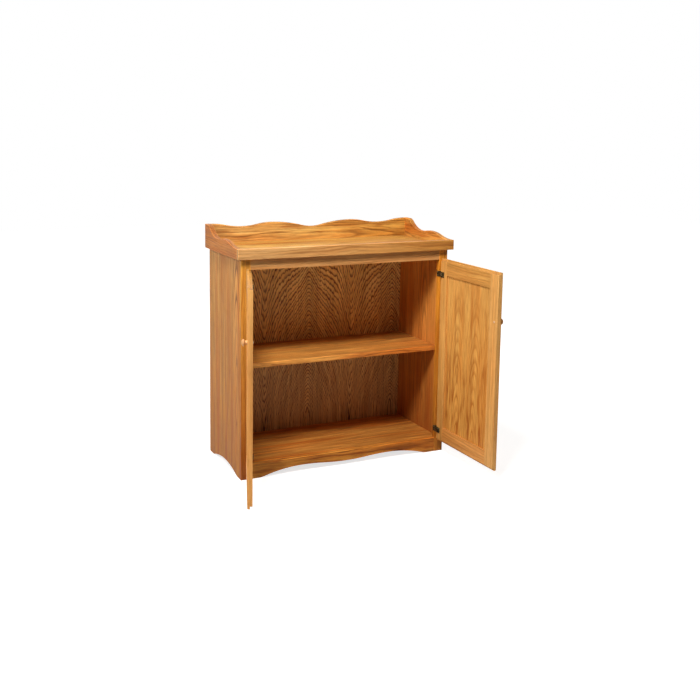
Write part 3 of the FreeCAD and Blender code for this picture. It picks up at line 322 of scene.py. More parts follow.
def oak_under_satin_varnish(name, look):
    """Red oak, sawn or sliced, stained honey and rubbed down under satin varnish.

    The stain gathers in the ring-porous early wood, which gives the eye dark, sharp-edged lines
    with a paler body between them, long streaks and short dark pores. The varnish leaves a soft,
    broad gloss."""
    material, tree, surface = new_material(name)
    colours = settings().oak
    grain = add(tree, "Attribute", attribute_name="grain").outputs["Vector"]
    log = add(tree, "Attribute", attribute_name="log").outputs["Vector"]
    # Its seed gives each board a place of its own in the noises.
    seed = add(tree, "SeparateXYZ", {0: log}).outputs[0]
    luck = add(tree, "VectorMath", {0: (3.7, 5.3, 2.9), "Scale": seed}, operation="SCALE")
    luck = add(tree, "VectorMath", {0: luck.outputs[0], 1: grain}, operation="ADD").outputs[0]
    along = add(tree, "SeparateXYZ", {0: luck}).outputs[0]
    # How much of the drawing is left here, where it fades towards the board's upper end.
    upward = add(tree, "SeparateXYZ", {0: grain}).outputs[0]
    drawn_here = add(tree, "Math", {0: upward, 1: -look.get("fade", 0.0), 2: 1.0},
                     operation="MULTIPLY_ADD").outputs[0]

    # Everything in wood is drawn out along the board. Each row is a noise: how often it changes a
    # metre along the board and across it, its octaves, the part of its range that counts, and what
    # that becomes. Real pores are 0.3 mm wide, too fine to show from across a room, so they are
    # drawn 1.3 mm wide.
    ring, wander, jitter = (look[key] * MM for key in ("ring", "wander", "jitter"))
    mottle = look["mottle"]
    noises = {}
    for key, often_along, often_across, octaves, start, stop, low, high in (
            ("slow", 2.6, 10.0, 1.5, 0.2, 0.8, -wander, wander),
            ("quick", 9.0, 48.0, 2.0, 0.0, 1.0, 0.0, 0.7 * wander),
            ("fine", 30.0, 120.0, 1.0, 0.0, 1.0, 0.0, 2 * jitter),
            ("cloud", 3.0, 14.0, 2.0, 0.32, 0.68, 1 + 0.1 * mottle, 1 - 0.1 * mottle),
            ("flame", 2.2, 70.0, 2.0, 0.32, 0.68, 1 - 0.12 * mottle, 1 + 0.1 * mottle),
            ("fibre", 9.0, 230.0, 2.0, 0.32, 0.68, 0.0, 1.0),
            ("amber", 1.5, 20.0, 2.0, 0.45, 0.7, 0.0, look["amber"]),
            ("figure", 8.0, 62.0, 2.0, 0.5, 0.7, 0.0, look["figure"]),
            ("pore", 26.0, 760.0, 1.0, 0.56, 0.74, 0.0, 1.0)):
        drawn = add(tree, "VectorMath", {0: luck, 1: (often_along, often_across, often_across)},
                    operation="MULTIPLY")
        noise = add(tree, "TexNoise",
                    {"Vector": drawn.outputs[0], "Scale": 1.0, "Detail": octaves})
        noises[key] = add(tree, "MapRange",
                          {"Value": noise.outputs["Fac"], "From Min": start, "From Max": stop,
                           "To Min": low, "To Max": high}).outputs[0]
    radius = growth_field(tree, look, grain, log, noises)

    # Good and bad years: the rings aren't all one width.
    years = add(tree, "CombineXYZ", {0: radius, 1: along})
    years = add(tree, "VectorMath", {0: years.outputs[0], 1: (0.42 / ring, 0.7, 0.0)},
                operation="MULTIPLY")
    years = add(tree, "TexNoise",
                {"Vector": years.outputs[0], "Scale": 1.0, "Detail": 1.0}).outputs["Fac"]
    radius = add(tree, "Math", {0: years, 1: look["years"] * ring, 2: radius},
                 operation="MULTIPLY_ADD")
    rings = add(tree, "Math", {0: radius.outputs[0], 1: ring}, operation="DIVIDE").outputs[0]
    phase = add(tree, "Math", {0: rings}, operation="FRACT").outputs[0]
    # A line is darkest where its ring starts, and has faded out by the ring's middle.
    line = add(tree, "ValToRGB", {"Fac": phase}, stops=(
        (0.0, (0.95,) * 3), (1.0, (0.8,) * 3), (0.16, (0.75,) * 3), (0.38, (0.2,) * 3),
        (0.58, (0.0,) * 3), (0.9, (0.1,) * 3))).outputs["Color"]
    # How strongly it is drawn changes from ring to ring, and along each.
    streak = add(tree, "CombineXYZ", {0: rings, 1: along})
    streak = add(tree, "VectorMath", {0: streak.outputs[0], 1: (0.8, 2.4, 0.0)},
                 operation="MULTIPLY")
    streak = add(tree, "TexNoise", {"Vector": streak.outputs[0], "Scale": 1.0, "Detail": 2.5,
                                    "Roughness": 0.6}).outputs["Fac"]

    # The body of the wood: early and late wood, redder where the stain went on heavier.
    body = add(tree, "MapRange",
               {"Value": streak, "From Min": 0.32, "From Max": 0.68, "To Min": 0.0,
                "To Max": look["band"]}).outputs[0]
    body = add(tree, "Mix", {0: body, 6: (*colours.light, 1), 7: (*colours.middle, 1)},
               data_type="RGBA").outputs[2]
    body = add(tree, "Mix", {0: noises["amber"], 6: body, 7: (*colours.amber, 1)},
               data_type="RGBA").outputs[2]
    figure = add(tree, "Math", {0: noises["figure"], 1: drawn_here}, operation="MULTIPLY",
                 use_clamp=True)
    body = add(tree, "Mix", {0: figure.outputs[0], 6: body, 7: (*colours.fleck, 1)},
               data_type="RGBA").outputs[2]
    shading = add(tree, "Math", {0: noises["cloud"], 1: noises["flame"]},
                  operation="MULTIPLY").outputs[0]
    fibres = add(tree, "Math", {0: noises["fibre"], 1: FIBRE_CONTRAST * mottle,
                               2: look.get("tone", 1.0) - FIBRE_LOSS * mottle},
                 operation="MULTIPLY_ADD").outputs[0]
    shading = add(tree, "Math", {0: shading, 1: fibres}, operation="MULTIPLY").outputs[0]
    body = add(tree, "VectorMath", {0: body, "Scale": shading}, operation="SCALE").outputs[0]

    # The ring lines, broken up by the fibres, and the pores.
    strength = add(tree, "MapRange", {"Value": streak, "From Min": 0.3, "From Max": 0.65,
                                      "To Min": look["faint"] * look["line"],
                                      "To Max": look["line"]})
    strength = add(tree, "Math", {0: strength.outputs[0], 1: line},
                   operation="MULTIPLY").outputs[0]
    strength = add(tree, "Math", {0: strength, 1: drawn_here}, operation="MULTIPLY").outputs[0]
    broken = add(tree, "Math", {0: noises["fibre"], 1: -0.55, 2: 1.15}, operation="MULTIPLY_ADD")
    strength = add(tree, "Math", {0: strength, 1: broken.outputs[0]}, operation="MULTIPLY",
                   use_clamp=True).outputs[0]
    ink = getattr(colours, look.get("ink", "dark"))
    lined = add(tree, "Mix", {0: strength, 6: body, 7: (*ink, 1)}, data_type="RGBA").outputs[2]
    pores = add(tree, "Math", {0: noises["pore"], 1: PORE_DARKNESS}, operation="MULTIPLY")
    lined = add(tree, "Mix", {0: pores.outputs[0], 6: lined, 7: (*colours.dark, 1)},
                data_type="RGBA").outputs[2]

    # Sawn ends drink more stain. An arris is drawn paler, sanded and with a painted highlight.
    end_cut = add(tree, "Attribute", attribute_name="end_cut").outputs["Fac"]
    arris = add(tree, "Attribute", attribute_name="arris").outputs["Fac"]
    shade = add(tree, "Math", {0: end_cut, 1: END_CUT_SHADE, 2: 1.0}, operation="MULTIPLY_ADD")
    shade = add(tree, "Math", {0: arris, 1: ARRIS_SANDING_AND_HIGHLIGHT, 2: shade.outputs[0]},
                operation="MULTIPLY_ADD")
    # The board's own shade, with painted light and shade where it changes along the board.
    tint_and_painted_shade = add(tree, "Attribute", attribute_name="tint_and_painted_shade").outputs["Vector"]
    tint_and_painted_shade = add(tree, "VectorMath", {0: tint_and_painted_shade, "Scale": shade.outputs[0]}, operation="SCALE")
    colour = add(tree, "VectorMath", {0: lined, 1: tint_and_painted_shade.outputs[0]},
                 operation="MULTIPLY").outputs[0]
    tree.links.new(colour, surface.inputs["Base Color"])

    rough = add(tree, "Math", {0: noises["fibre"], 1: 0.1, 2: VARNISH_ROUGHNESS},
                operation="MULTIPLY_ADD")
    rough = add(tree, "Math", {0: noises["pore"], 1: 0.12, 2: rough.outputs[0]},
                operation="MULTIPLY_ADD")
    tree.links.new(rough.outputs[0], surface.inputs["Roughness"])
    height = add(tree, "Math", {0: noises["pore"], 1: -0.6}, operation="MULTIPLY")
    height = add(tree, "Math", {0: strength, 1: -0.5, 2: height.outputs[0]},
                 operation="MULTIPLY_ADD")
    bump = add(tree, "Bump", {"Strength": 0.5, "Distance": RELIEF, "Height": height.outputs[0]})
    tree.links.new(bump.outputs[0], surface.inputs["Normal"])
    surface.inputs["IOR"].default_value = 1.5
    surface.inputs["Specular IOR Level"].default_value = VARNISH_SPECULAR
    return material


def planed_pine():
    """Pine, planed and left bare: pale yellow with broad, soft orange lines and no gloss."""
    material, tree, surface = new_material("pine_planed_bare")
    grain = add(tree, "Attribute", attribute_name="grain").outputs["Vector"]
    # Rings some 5 mm apart. Real fibres are too fine to show, so they are drawn 2.5 mm wide.
    wave = add(tree, "VectorMath", {0: grain, 1: (2.0, 30.0, 30.0)}, operation="MULTIPLY")
    wave = add(tree, "TexNoise",
               {"Vector": wave.outputs[0], "Scale": 1.0, "Detail": 2.0}).outputs["Fac"]
    rings = add(tree, "Math", {0: wave, 1: 7.0}, operation="MULTIPLY")
    rings = add(tree, "Math", {0: rings.outputs[0]}, operation="FRACT").outputs[0]
    line = add(tree, "ValToRGB", {"Fac": rings}, stops=(
        (0.0, (0.0,) * 3), (1.0, (0.0,) * 3), (0.7, (0.3,) * 3),
        (0.92, (0.8,) * 3))).outputs["Color"]
    fibre = add(tree, "VectorMath", {0: grain, 1: (6.0, 400.0, 400.0)}, operation="MULTIPLY")
    fibre = add(tree, "TexNoise",
                {"Vector": fibre.outputs[0], "Scale": 1.0, "Detail": 2.0}).outputs["Fac"]
    fibre = add(tree, "MapRange", {"Value": fibre, "To Min": 0.8, "To Max": 1.15}).outputs[0]
    colour = add(tree, "Mix", {0: line, 6: (*settings().oak.pine, 1), 7: (*linear(PINE_LINES), 1)},
                 data_type="RGBA").outputs[2]
    colour = add(tree, "VectorMath", {0: colour, 1: fibre}, operation="MULTIPLY").outputs[0]
    tree.links.new(colour, surface.inputs["Base Color"])
    surface.inputs["Roughness"].default_value = 0.72
    bump = add(tree, "Bump", {"Strength": 0.4, "Distance": 0.2 * MM, "Height": fibre})
    tree.links.new(bump.outputs[0], surface.inputs["Normal"])
    return material


def finish_named(key):
    """The wood material of that key, made when the first piece asks for it."""
    name = "pine_planed_bare" if key == "pine" else "oak_%s_stained_satin_varnish" % key
    if name in bpy.data.materials:
        return bpy.data.materials[name]
    return planed_pine() if key == "pine" else oak_under_satin_varnish(name, OAK_LOOKS[key])


def closing_turn(body):
    """The matrix that shuts a door from where it stands open, so its boards line up with the
    axes."""
    for joint in frame["joints"]:
        if joint["child"] == body:
            hinge = Matrix.Translation(Vector(joint["pos_m"]))
            turn = Matrix.Rotation(math.radians(joint["range_deg"][0]), 4, Vector(joint["axis"]))
            return hinge @ turn @ hinge.inverted()
    return Matrix.Identity(4)


def rounded(node, body, offset, shortest, layer="arris"):
    """The node's own shape as an editable mesh, shut if it is on a door, with its sharp edges
    rounded. The layer marks the faces of the rounding."""
    mesh = bmesh.new()
    mesh.from_mesh(frame["nodes"][node].data)
    bmesh.ops.transform(mesh, matrix=closing_turn(body), verts=mesh.verts)
    bmesh.ops.remove_doubles(mesh, verts=mesh.verts, dist=WELD)
    bmesh.ops.dissolve_limit(mesh, angle_limit=FLAT, verts=mesh.verts, edges=mesh.edges)
    sharp = [edge for edge in mesh.edges
             if edge.is_manifold and edge.is_convex and edge.calc_length() > shortest
             and edge.calc_face_angle() > SHARP]
    worn = mesh.faces.layers.float.new(layer)
    made = bmesh.ops.bevel(mesh, geom=sharp, offset=offset, segments=3, profile=0.5,
                           affect="EDGES", clamp_overlap=False)
    for face in made["faces"]:
        face[worn] = 1.0
    return mesh


def set_in_place(mesh, name, node, body, material):
    """Makes the piece that stands for a node, back where the node is at rest."""
    for face in mesh.faces:
        face.smooth = True
    bmesh.ops.transform(mesh, matrix=closing_turn(body).inverted(), verts=mesh.verts)
    shape = bpy.data.meshes.new(name)
    mesh.to_mesh(shape)
    mesh.free()
    shape.set_sharp_from_angle(angle=CREASE)
    shape.materials.append(material)
    piece = bpy.data.objects.new(name, shape)
    bpy.context.scene.collection.objects.link(piece)
    smooth = piece.modifiers.new("flat_faces_stay_flat", "WEIGHTED_NORMAL")
    smooth.keep_sharp = True
    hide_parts(node)
    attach(piece, body)
    return piece


def dress_board(node, body, finish, along, across, cut, tint_and_painted_shade, arris, edging=""):
    """Puts a board in a node's place: the same shape with its arrises taken off and its own grain.
    Its tint is one shade, or two that run from its foot or left end to its other end; the change
    between two shades is painted light and shade. Its long edges are planed, or bandsawn where
    they wave, which drinks stain, or lipped with a paler strip."""
    mesh = rounded(node, body, arris, SHORTEST_BOARD_EDGE)
    way = [AXES[along], AXES[across]]
    way.append(3 - sum(way))
    low = [min(v.co[i] for v in mesh.verts) for i in way]
    high = [max(v.co[i] for v in mesh.verts) for i in way]
    grain = mesh.verts.layers.float_vector.new("grain")
    log = mesh.verts.layers.float_vector.new("log")
    tint_and_painted_shade_layer = mesh.verts.layers.float_vector.new("tint_and_painted_shade")
    origin = Vector((cut[0], cut[1] * MM, cut[2] * MM))
    # One shade, or two along the board whose change is painted light and shade.
    first, last = [Vector(linear(shade))
                   for shade in (tint_and_painted_shade if isinstance(tint_and_painted_shade, tuple) else (tint_and_painted_shade, tint_and_painted_shade))]
    for vertex in mesh.verts:
        vertex[grain] = Vector([vertex.co[way[i]] - (low[i] + high[i]) / 2 for i in range(3)])
        vertex[log] = origin
        vertex[tint_and_painted_shade_layer] = first.lerp(last, (vertex.co[way[0]] - low[0]) / (high[0] - low[0]))
    ends = mesh.faces.layers.float.new("end_cut")
    mesh.normal_update()
    for face in mesh.faces:
        open_grain = abs(face.normal[way[0]])
        level = face.calc_center_median()[way[1]]
        straight = min(abs(level - low[1]), abs(level - high[1])) < 10 * WELD
        if edging == "bandsawn" and abs(face.normal[way[2]]) < EDGE_ON and not straight:
            open_grain = max(open_grain, BANDSAWN)
        face[ends] = open_grain if open_grain > END_GRAIN_FROM else 0.0
        if edging == "lipped" and abs(face.normal[way[1]]) > EDGE_ON:
            face[ends] = LIPPED
    return set_in_place(mesh, node + "_board", node, body, finish_named(finish))


def dress_boards(rows, body="cabinet", prefix=""):
    """Dresses each board in rows: its name, finish, slot, the ways its grain runs and lies across,
    where in the log it was cut (seed, mm, mm), its shade, of which a change along the board is
    painted light and shade, and its edges: free (board), bandsawn, lipped or a joint."""
    edges = settings().edges
    for name, finish, slot, along, across, cut, tint_and_painted_shade, kind in rows:
        dress_board(prefix + name, body, finish, along, across, cut, tint_and_painted_shade,
                    edges.joint if kind == "joint" else edges.board, kind)


# === Metal =======================================================================================
def antique_bronze():
    """Bronze, stamped and lacquered dark: worn warmer and brighter in soft patches and along its
    edges."""
    material, tree, surface = new_material("bronze_stamped_antiqued")
    hardware = settings().hardware
    where = add(tree, "TexCoord").outputs["Object"]
    patch = add(tree, "TexNoise",
                {"Vector": where, "Scale": BRONZE_PATCHES, "Detail": 3.0}).outputs["Fac"]
    patch = add(tree, "MapRange", {"Value": patch, "From Min": 0.42, "From Max": 0.7}).outputs[0]
    rubbed = add(tree, "Attribute", attribute_name="rubbed").outputs["Fac"]
    patch = add(tree, "Math", {0: rubbed, 1: 0.8, 2: patch}, operation="MULTIPLY_ADD",
                use_clamp=True).outputs[0]
    colour = add(tree, "Mix", {0: patch, 6: (*hardware.bronze, 1), 7: (*hardware.worn, 1)},
                 data_type="RGBA").outputs[2]
    tree.links.new(colour, surface.inputs["Base Color"])
    surface.inputs["Metallic"].default_value = 0.85
    rough = add(tree, "MapRange", {"Value": patch, "To Min": 0.45, "To Max": 0.3}).outputs[0]
    tree.links.new(rough, surface.inputs["Roughness"])
    grit = add(tree, "TexNoise",
               {"Vector": where, "Scale": BRONZE_GRIT, "Detail": 1.0}).outputs["Fac"]
    bump = add(tree, "Bump", {"Strength": 0.25, "Distance": 0.05 * MM, "Height": grit})
    tree.links.new(bump.outputs[0], surface.inputs["Normal"])
    return material


def passivated_steel():
    """Steel, cold-headed and plated with zinc under a yellow passivation that has gone dull and
    patchy."""
    material, tree, surface = new_material("steel_zinc_plated_yellow")
    where = add(tree, "TexCoord").outputs["Object"]
    patch = add(tree, "TexNoise",
                {"Vector": where, "Scale": ZINC_PATCHES, "Detail": 2.0}).outputs["Fac"]
    patch = add(tree, "MapRange", {"Value": patch, "From Min": 0.35, "From Max": 0.65}).outputs[0]
    colour = add(tree, "Mix",
                 {0: patch, 6: (*settings().hardware.zinc, 1), 7: (*linear(DULL_ZINC), 1)},
                 data_type="RGBA").outputs[2]
    tree.links.new(colour, surface.inputs["Base Color"])
    surface.inputs["Metallic"].default_value = 1.0
    rough = add(tree, "MapRange", {"Value": patch, "To Min": 0.3, "To Max": 0.48}).outputs[0]
    tree.links.new(rough, surface.inputs["Roughness"])
    return material


def body_of(name):
    """The body that a hinge or screw node rides on, from its name."""
    side = name.split("_")[0]
    return side + "_door" if "_door_" in name else "cabinet"


def press_crosses(mesh, way, name):
    """Presses a cross into the head of every screw in a mesh whose screws all lie along one
    axis."""
    cutter = bmesh.new()
    seen = set()
    for first in mesh.verts:
        if first in seen:
            continue
        screw, reached = [], [first]
        seen.add(first)
        while reached:
            vertex = reached.pop()
            screw.append(vertex)
            near = [edge.other_vert(vertex) for edge in vertex.link_edges]
            near = [other for other in near if other not in seen]
            seen.update(near)
            reached += near
        low, high = [Vector([pick(v.co[i] for v in screw) for i in range(3)])
                     for pick in (min, max)]
        middle = (low + high) / 2
        round_by = [i for i in range(3) if i != way]
        widest = max(screw, key=lambda v: sum((v.co[i] - middle[i]) ** 2 for i in round_by))
        spoke = widest.co - middle
        spoke[way] = 0
        radius = spoke.length
        at_high = widest.co[way] > middle[way]
        seat = middle.copy()
        seat[way] = high[way] if at_high else low[way]
        for arm in round_by:
            size = [CROSS_WIDTH * radius] * 3
            size[arm] = CROSS_LENGTH * radius
            size[way] = CROSS_DEPTH * radius
            matrix = Matrix.Translation(seat) @ Matrix.Diagonal((*size, 1))
            bmesh.ops.create_cube(cutter, size=1.0, matrix=matrix)
    shapes = []
    for made, label in ((mesh, name + "_blank"), (cutter, name + "_punch")):
        shape = bpy.data.meshes.new(label)
        made.to_mesh(shape)
        shapes.append(bpy.data.objects.new(label, shape))
        bpy.context.scene.collection.objects.link(shapes[-1])
    cutter.free()
    cut = shapes[0].modifiers.new("punch", "BOOLEAN")
    cut.operation = "DIFFERENCE"
    cut.solver = "EXACT"
    cut.use_self = True
    cut.object = shapes[1]
    evaluated = shapes[0].evaluated_get(bpy.context.evaluated_depsgraph_get())
    done = bpy.data.meshes.new_from_object(evaluated)
    mesh.clear()
    mesh.from_mesh(done)
    bpy.data.meshes.remove(done)
    for shape in shapes:
        old = shape.data
        bpy.data.objects.remove(shape)
        bpy.data.meshes.remove(old)
    return mesh


def dress_hinge(node, material):
    """Puts a hinge leaf or pin in its node's place, with its stamped edges softened."""
    mesh = rounded(node, body_of(node), settings().edges.metal, SHORTEST_METAL_EDGE, "rubbed")
    return set_in_place(mesh, node + "_metal", node, body_of(node), material)


def dress_screws(node, way, material):
    """Puts screws in their node's place, each with a cross pressed into its head."""
    blank = rounded(node, body_of(node), settings().edges.metal, LONGER_THAN_ANY_EDGE, "rubbed")
    mesh = press_crosses(blank, AXES[way], node)
    return set_in_place(mesh, node + "_metal", node, body_of(node), material)


# === Operators ===================================================================================
class DRYSINK_OT_carcass(bpy.types.Operator):
    """Dresses the sides, back, deck and shelf, and the softwood hidden behind and below them"""
    bl_idname = "dry_sink.carcass"
    bl_label = "Carcass"

    def execute(self, context):
        dress_boards((
            # The sides and the back run from a darker foot to a paler top: painted shade.
            ("left_side_panel", "sides", "oak_sheet", "z", "y", (1, 0, 42),
             ("#cfab3c", "#f0eae5"), "bandsawn"),
            ("right_side_panel", "quiet_sides", "oak_sheet", "z", "y", (2, 90, 42),
             ("#bf946e", "#ffdcb0"), "bandsawn"),
            ("back_panel", "back", "oak_sheet", "z", "x", (3, 0, 0),
             ("#bfc3da", "#f4ffff"), "joint"),
            ("bottom_deck", "shelf", "oak_sheet", "x", "y", (4, 40, 24), "#f4dab0", "board"),
            ("middle_shelf", "shelf", "oak_sheet", "x", "y", (5, 0, 24), "#f4dfba", "lipped"),
            ("front_stretcher", "pine", "plain_wood", "x", "y", (6, 0, 0), "#ffffff", "board"),
            ("rear_stretcher", "pine", "plain_wood", "x", "y", (7, 0, 0), "#ffffff", "board"),
            ("left_foot_block", "pine", "plain_wood", "z", "x", (8, 0, 0), "#ffffff", "joint"),
            ("right_foot_block", "pine", "plain_wood", "z", "x", (9, 0, 0), "#ffffff", "joint"),
        ))
        return {"FINISHED"}


class DRYSINK_OT_face_frame(bpy.types.Operator):
    """Dresses the two stiles, the top rail and the scalloped apron"""
    bl_idname = "dry_sink.face_frame"
    bl_label = "Face frame"

    def execute(self, context):
        dress_boards((
            # Both stiles run from a darker foot to a paler top: painted shade.
            ("left_frame_stile", "calm_boards", "oak_boards", "z", "x", (10, 12, 10),
             ("#ab7746", "#eee1a4"), "joint"),
            ("right_frame_stile", "calm_boards", "oak_boards", "z", "x", (11, -45, 20),
             ("#d3ae6c", "#ffd674"), "joint"),
            ("frame_top_rail", "calm_boards", "oak_boards", "x", "z", (12, 40, 25),
             "#f4f0fa", "joint"),
            ("frame_bottom_rail", "bold_boards", "oak_boards", "x", "z", (13, 10, 15),
             "#e8c98d", "bandsawn"),
        ))
        return {"FINISHED"}


class DRYSINK_OT_tray(bpy.types.Operator):
    """Dresses the tray: its deck, front rail, scalloped side rails and wavy backsplash"""
    bl_idname = "dry_sink.tray"
    bl_label = "Tray"

    def execute(self, context):
        dress_boards((
            ("tray_deck", "shelf", "oak_sheet", "x", "y", (14, 0, 24), "#ece6c1", "joint"),
            # The front rail and the backsplash change shade from their left end to their right:
            # painted light and shade.
            ("tray_front_rail", "calm_boards", "oak_boards", "x", "z", (15, -8, 12),
             ("#f1efff", "#d2bb8d"), "board"),
            ("tray_left_rail", "calm_boards", "oak_boards", "y", "z", (16, 20, 25),
             "#d0b39f", "bandsawn"),
            ("tray_right_rail", "bold_boards", "oak_boards", "y", "z", (17, 35, 25),
             "#f6e7c2", "bandsawn"),
            ("tray_backsplash", "bold_boards", "oak_boards", "x", "z", (18, -10, 22),
             ("#f6fdff", "#fffdc9"), "bandsawn"),
        ))
        return {"FINISHED"}


class DRYSINK_OT_doors(bpy.types.Operator):
    """Dresses the frame and panel of both doors"""
    bl_idname = "dry_sink.doors"
    bl_label = "Doors"

    def execute(self, context):
        for side, log in zip(SIDES, (20, 30)):
            dress_boards((
                ("hinge_stile", "plain_boards", "oak_boards", "z", "x", (log, 50, 18),
                 "#f3e7d1", "joint"),
                ("meeting_stile", "plain_boards", "oak_boards", "z", "x", (log + 1, -45, 28),
                 "#f3e9de", "joint"),
                ("top_rail", "plain_boards", "oak_boards", "x", "z", (log + 2, -50, 22),
                 "#dfd2b9", "joint"),
                ("bottom_rail", "plain_boards", "oak_boards", "x", "z", (log + 3, 50, 24),
                 "#f2dac0", "joint"),
                # The panel runs from a paler foot to a darker top: painted light and shade.
                ("panel", "door", "oak_sheet", "z", "x", (log + 4, 0, 42),
                 ("#fff3c9", "#ece1c8"), "joint"),
            ), side + "_door", side + "_door_")
        return {"FINISHED"}


class DRYSINK_OT_knobs(bpy.types.Operator):
    """Dresses the two turned knobs"""
    bl_idname = "dry_sink.knobs"
    bl_label = "Knobs"

    def execute(self, context):
        for side in SIDES:
            dress_board(side + "_door_knob", side + "_door", "turned", "y", "x",
                        (40, 9, 9), "#f8ecff", settings().edges.turned)
        return {"FINISHED"}


class DRYSINK_OT_hinges(bpy.types.Operator):
    """Dresses the leaves and pins of the wrap-round hinges"""
    bl_idname = "dry_sink.hinges"
    bl_label = "Hinges"

    def execute(self, context):
        bronze = antique_bronze()
        for node in sorted(frame["nodes"]):
            if "_hinge_" in node and not node.endswith("stile"):
                dress_hinge(node, bronze)
        return {"FINISHED"}


class DRYSINK_OT_screws(bpy.types.Operator):
    """Dresses the screws: bronze in the hinges, yellow zinc in the knobs and under the tray"""
    bl_idname = "dry_sink.screws"
    bl_label = "Screws"

    def execute(self, context):
        bronze = bpy.data.materials["bronze_stamped_antiqued"]
        zinc = passivated_steel()
        dress_screws("tray_screws", "z", zinc)
        for side in SIDES:
            dress_screws(side + "_door_knob_screw", "y", zinc)
            dress_screws(side + "_door_leaf_screws", "y", bronze)
            dress_screws(side + "_frame_leaf_screws", "x", bronze)
        return {"FINISHED"}


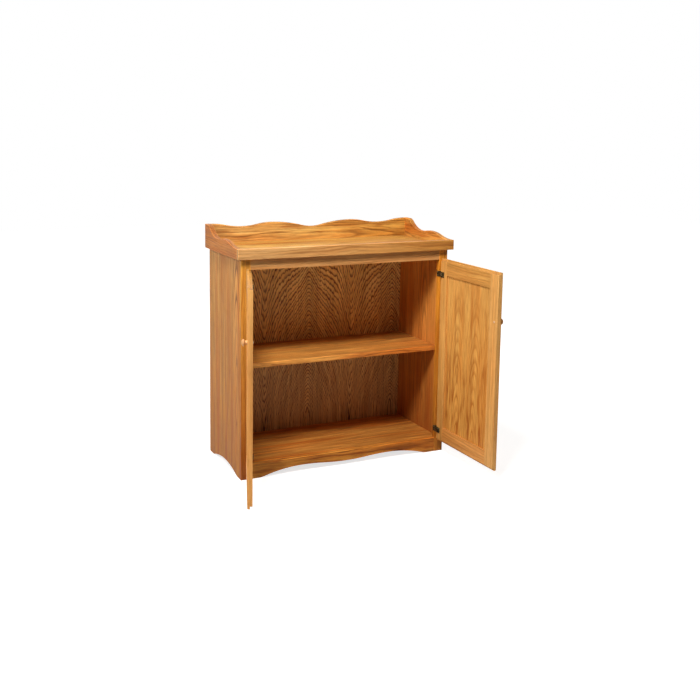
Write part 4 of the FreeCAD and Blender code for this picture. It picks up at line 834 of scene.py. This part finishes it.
class DRYSINK_OT_stage(bpy.types.Operator):
    """Sets up the floor, the lights, the white surroundings and the camera"""
    bl_idname = "dry_sink.stage"
    bl_label = "Stage"

    def execute(self, context):
        self.floor()
        self.world()
        self.lights()
        self.camera()
        bpy.context.scene.view_settings.view_transform = "Standard"
        return {"FINISHED"}

    def floor(self):
        """A sheet of white paper that reaches out past the view."""
        plane = bmesh.new()
        plane.faces.new([plane.verts.new((x * FLOOR_HALF, y * FLOOR_HALF, 0))
                         for x, y in ((-1, -1), (1, -1), (1, 1), (-1, 1))])
        mesh = bpy.data.meshes.new("studio_floor")
        plane.to_mesh(mesh)
        plane.free()
        floor = bpy.data.objects.new("studio_floor", mesh)
        bpy.context.scene.collection.objects.link(floor)
        material = bpy.data.materials.new("paper_matt_white")
        material.use_nodes = True
        tree = material.node_tree
        tree.nodes.clear()
        matt = add(tree, "BsdfDiffuse", {"Color": (*settings().studio.floor, 1)})
        # The paper glows white to the camera, less so under the cabinet, where its shadow stays
        # faint. In the varnish it is dimmer, and it lights nothing.
        seen = add(tree, "LightPath")
        dimmed = add(tree, "Math", {0: seen.outputs["Is Glossy Ray"], 1: FLOOR_IN_GLOSS},
                     operation="MULTIPLY")
        lift = add(tree, "Math", {0: seen.outputs["Is Camera Ray"], 1: dimmed.outputs[0]},
                   operation="MAXIMUM")
        lift = add(tree, "Math", {0: lift.outputs[0], 1: seen.outputs["Is Transmission Ray"]},
                   operation="MAXIMUM")
        far = add(tree, "TexCoord").outputs["Object"]
        far = add(tree, "VectorMath", {0: far}, operation="LENGTH").outputs["Value"]
        far = add(tree, "MapRange", {"Value": far, "From Min": SHADOW_REACH[0],
                                     "From Max": SHADOW_REACH[1], "To Min": SHADOW_GLOW,
                                     "To Max": 1.0}, interpolation_type="SMOOTHSTEP").outputs[0]
        lift = add(tree, "Math", {0: lift.outputs[0], 1: far}, operation="MULTIPLY")
        glow = add(tree, "Emission", {"Color": (1, 1, 1, 1), "Strength": lift.outputs[0]})
        both = add(tree, "AddShader", {0: matt.outputs[0], 1: glow.outputs[0]})
        add(tree, "OutputMaterial", {"Surface": both.outputs[0]})
        mesh.materials.append(material)

    def world(self):
        """A plain white room, which lights the cabinet only faintly."""
        world = bpy.data.worlds.new("studio")
        bpy.context.scene.world = world
        world.use_nodes = True
        tree = world.node_tree
        tree.nodes.clear()
        seen = add(tree, "LightPath")
        white = add(tree, "Math",
                    {0: seen.outputs["Is Camera Ray"], 1: seen.outputs["Is Glossy Ray"]},
                    operation="MAXIMUM")
        white = add(tree, "Math", {0: white.outputs[0], 1: seen.outputs["Is Transmission Ray"]},
                    operation="MAXIMUM")
        fill = add(tree, "Background", {"Color": (1, 1, 1, 1), "Strength": settings().studio.fill})
        backdrop = add(tree, "Background", {"Color": (1, 1, 1, 1), "Strength": 1.0})
        mixed = add(tree, "MixShader",
                    {0: white.outputs[0], 1: fill.outputs[0], 2: backdrop.outputs[0]})
        add(tree, "OutputWorld", {"Surface": mixed.outputs[0]})

    def lights(self):
        """Four large soft lamps round the cabinet."""
        # Each lamp's name, power, width, and how far round from the front and how far up it
        # stands.
        studio = settings().studio
        middle = Vector(LAMPS_AIM)
        for name, power, size, round_by, up_by in (("key", studio.key_power, 0.8, -38, 54),
                                                   ("side", studio.side_power, 1.4, -75, 32),
                                                   ("right", studio.right_power, 1.4, 60, 46),
                                                   ("back", studio.back_power, 1.4, 170, 30)):
            lamp = bpy.data.lights.new(name, "AREA")
            lamp.shape = "DISK"
            lamp.size = size
            lamp.energy = power
            light = bpy.data.objects.new(name, lamp)
            bpy.context.scene.collection.objects.link(light)
            turn = math.radians(round_by)
            rise = math.radians(up_by)
            away = Vector((math.sin(turn) * math.cos(rise), -math.cos(turn) * math.cos(rise),
                           math.sin(rise)))
            light.location = middle + away * LAMPS_AWAY
            light.rotation_euler = (-away).to_track_quat("-Z", "Y").to_euler()
            # The one behind fills the shade on the back panel without glaring off the tray's
            # varnish.
            light.visible_glossy = name != "back"

    def camera(self):
        """The camera, in front of the cabinet and to its left."""
        lens = bpy.data.cameras.new("camera")
        lens.sensor_fit = "HORIZONTAL"
        lens.sensor_width = CAMERA_SENSOR
        lens.lens = CAMERA_LENS
        lens.shift_y = CAMERA_SHIFT
        camera = bpy.data.objects.new("camera", lens)
        bpy.context.scene.collection.objects.link(camera)
        yaw, pitch, roll = (math.radians(turn) for turn in CAMERA_TURN)
        ahead = Vector((math.sin(yaw) * math.cos(pitch), math.cos(yaw) * math.cos(pitch),
                        math.sin(pitch)))
        right = Vector((math.cos(yaw), -math.sin(yaw), 0))
        up = right.cross(ahead)
        level = math.cos(roll) * right + math.sin(roll) * up
        upright = math.cos(roll) * up - math.sin(roll) * right
        turned = Matrix((level, upright, -ahead)).transposed().to_4x4()
        camera.matrix_world = Matrix.Translation(CAMERA_PLACE) @ turned
        bpy.context.scene.camera = camera


class DRYSINK_PT_panel(bpy.types.Panel):
    """Lists the steps and the settings"""
    bl_idname = "DRYSINK_PT_panel"
    bl_label = "Dry Sink Cabinet"
    bl_space_type = "VIEW_3D"
    bl_region_type = "UI"
    bl_category = "Dry Sink"

    def draw(self, context):
        for group in ("oak", "hardware", "edges", "studio"):
            box = self.layout.box()
            chosen = getattr(context.scene.dry_sink, group)
            for name in chosen.bl_rna.properties.keys():
                if name not in ("rna_type", "name"):
                    box.prop(chosen, name)
        for step in STEPS:
            self.layout.operator(step.bl_idname)


GROUPS = (OakColours, HardwareColours, EdgeSizes, StudioSettings, DrySinkSettings)
STEPS = (DRYSINK_OT_carcass, DRYSINK_OT_face_frame, DRYSINK_OT_tray, DRYSINK_OT_doors,
         DRYSINK_OT_knobs, DRYSINK_OT_hinges, DRYSINK_OT_screws, DRYSINK_OT_stage)


def register():
    for item in (*GROUPS, *STEPS, DRYSINK_PT_panel):
        bpy.utils.register_class(item)
    bpy.types.Scene.dry_sink = PointerProperty(type=DrySinkSettings)


def unregister():
    del bpy.types.Scene.dry_sink
    for item in reversed((*GROUPS, *STEPS, DRYSINK_PT_panel)):
        bpy.utils.unregister_class(item)


def main():
    """Registers the add-on and dresses the cabinet step by step."""
    register()
    for step in STEPS:
        getattr(bpy.ops.dry_sink, step.bl_idname.split(".")[1])()


if __name__ == "__main__":
    main()
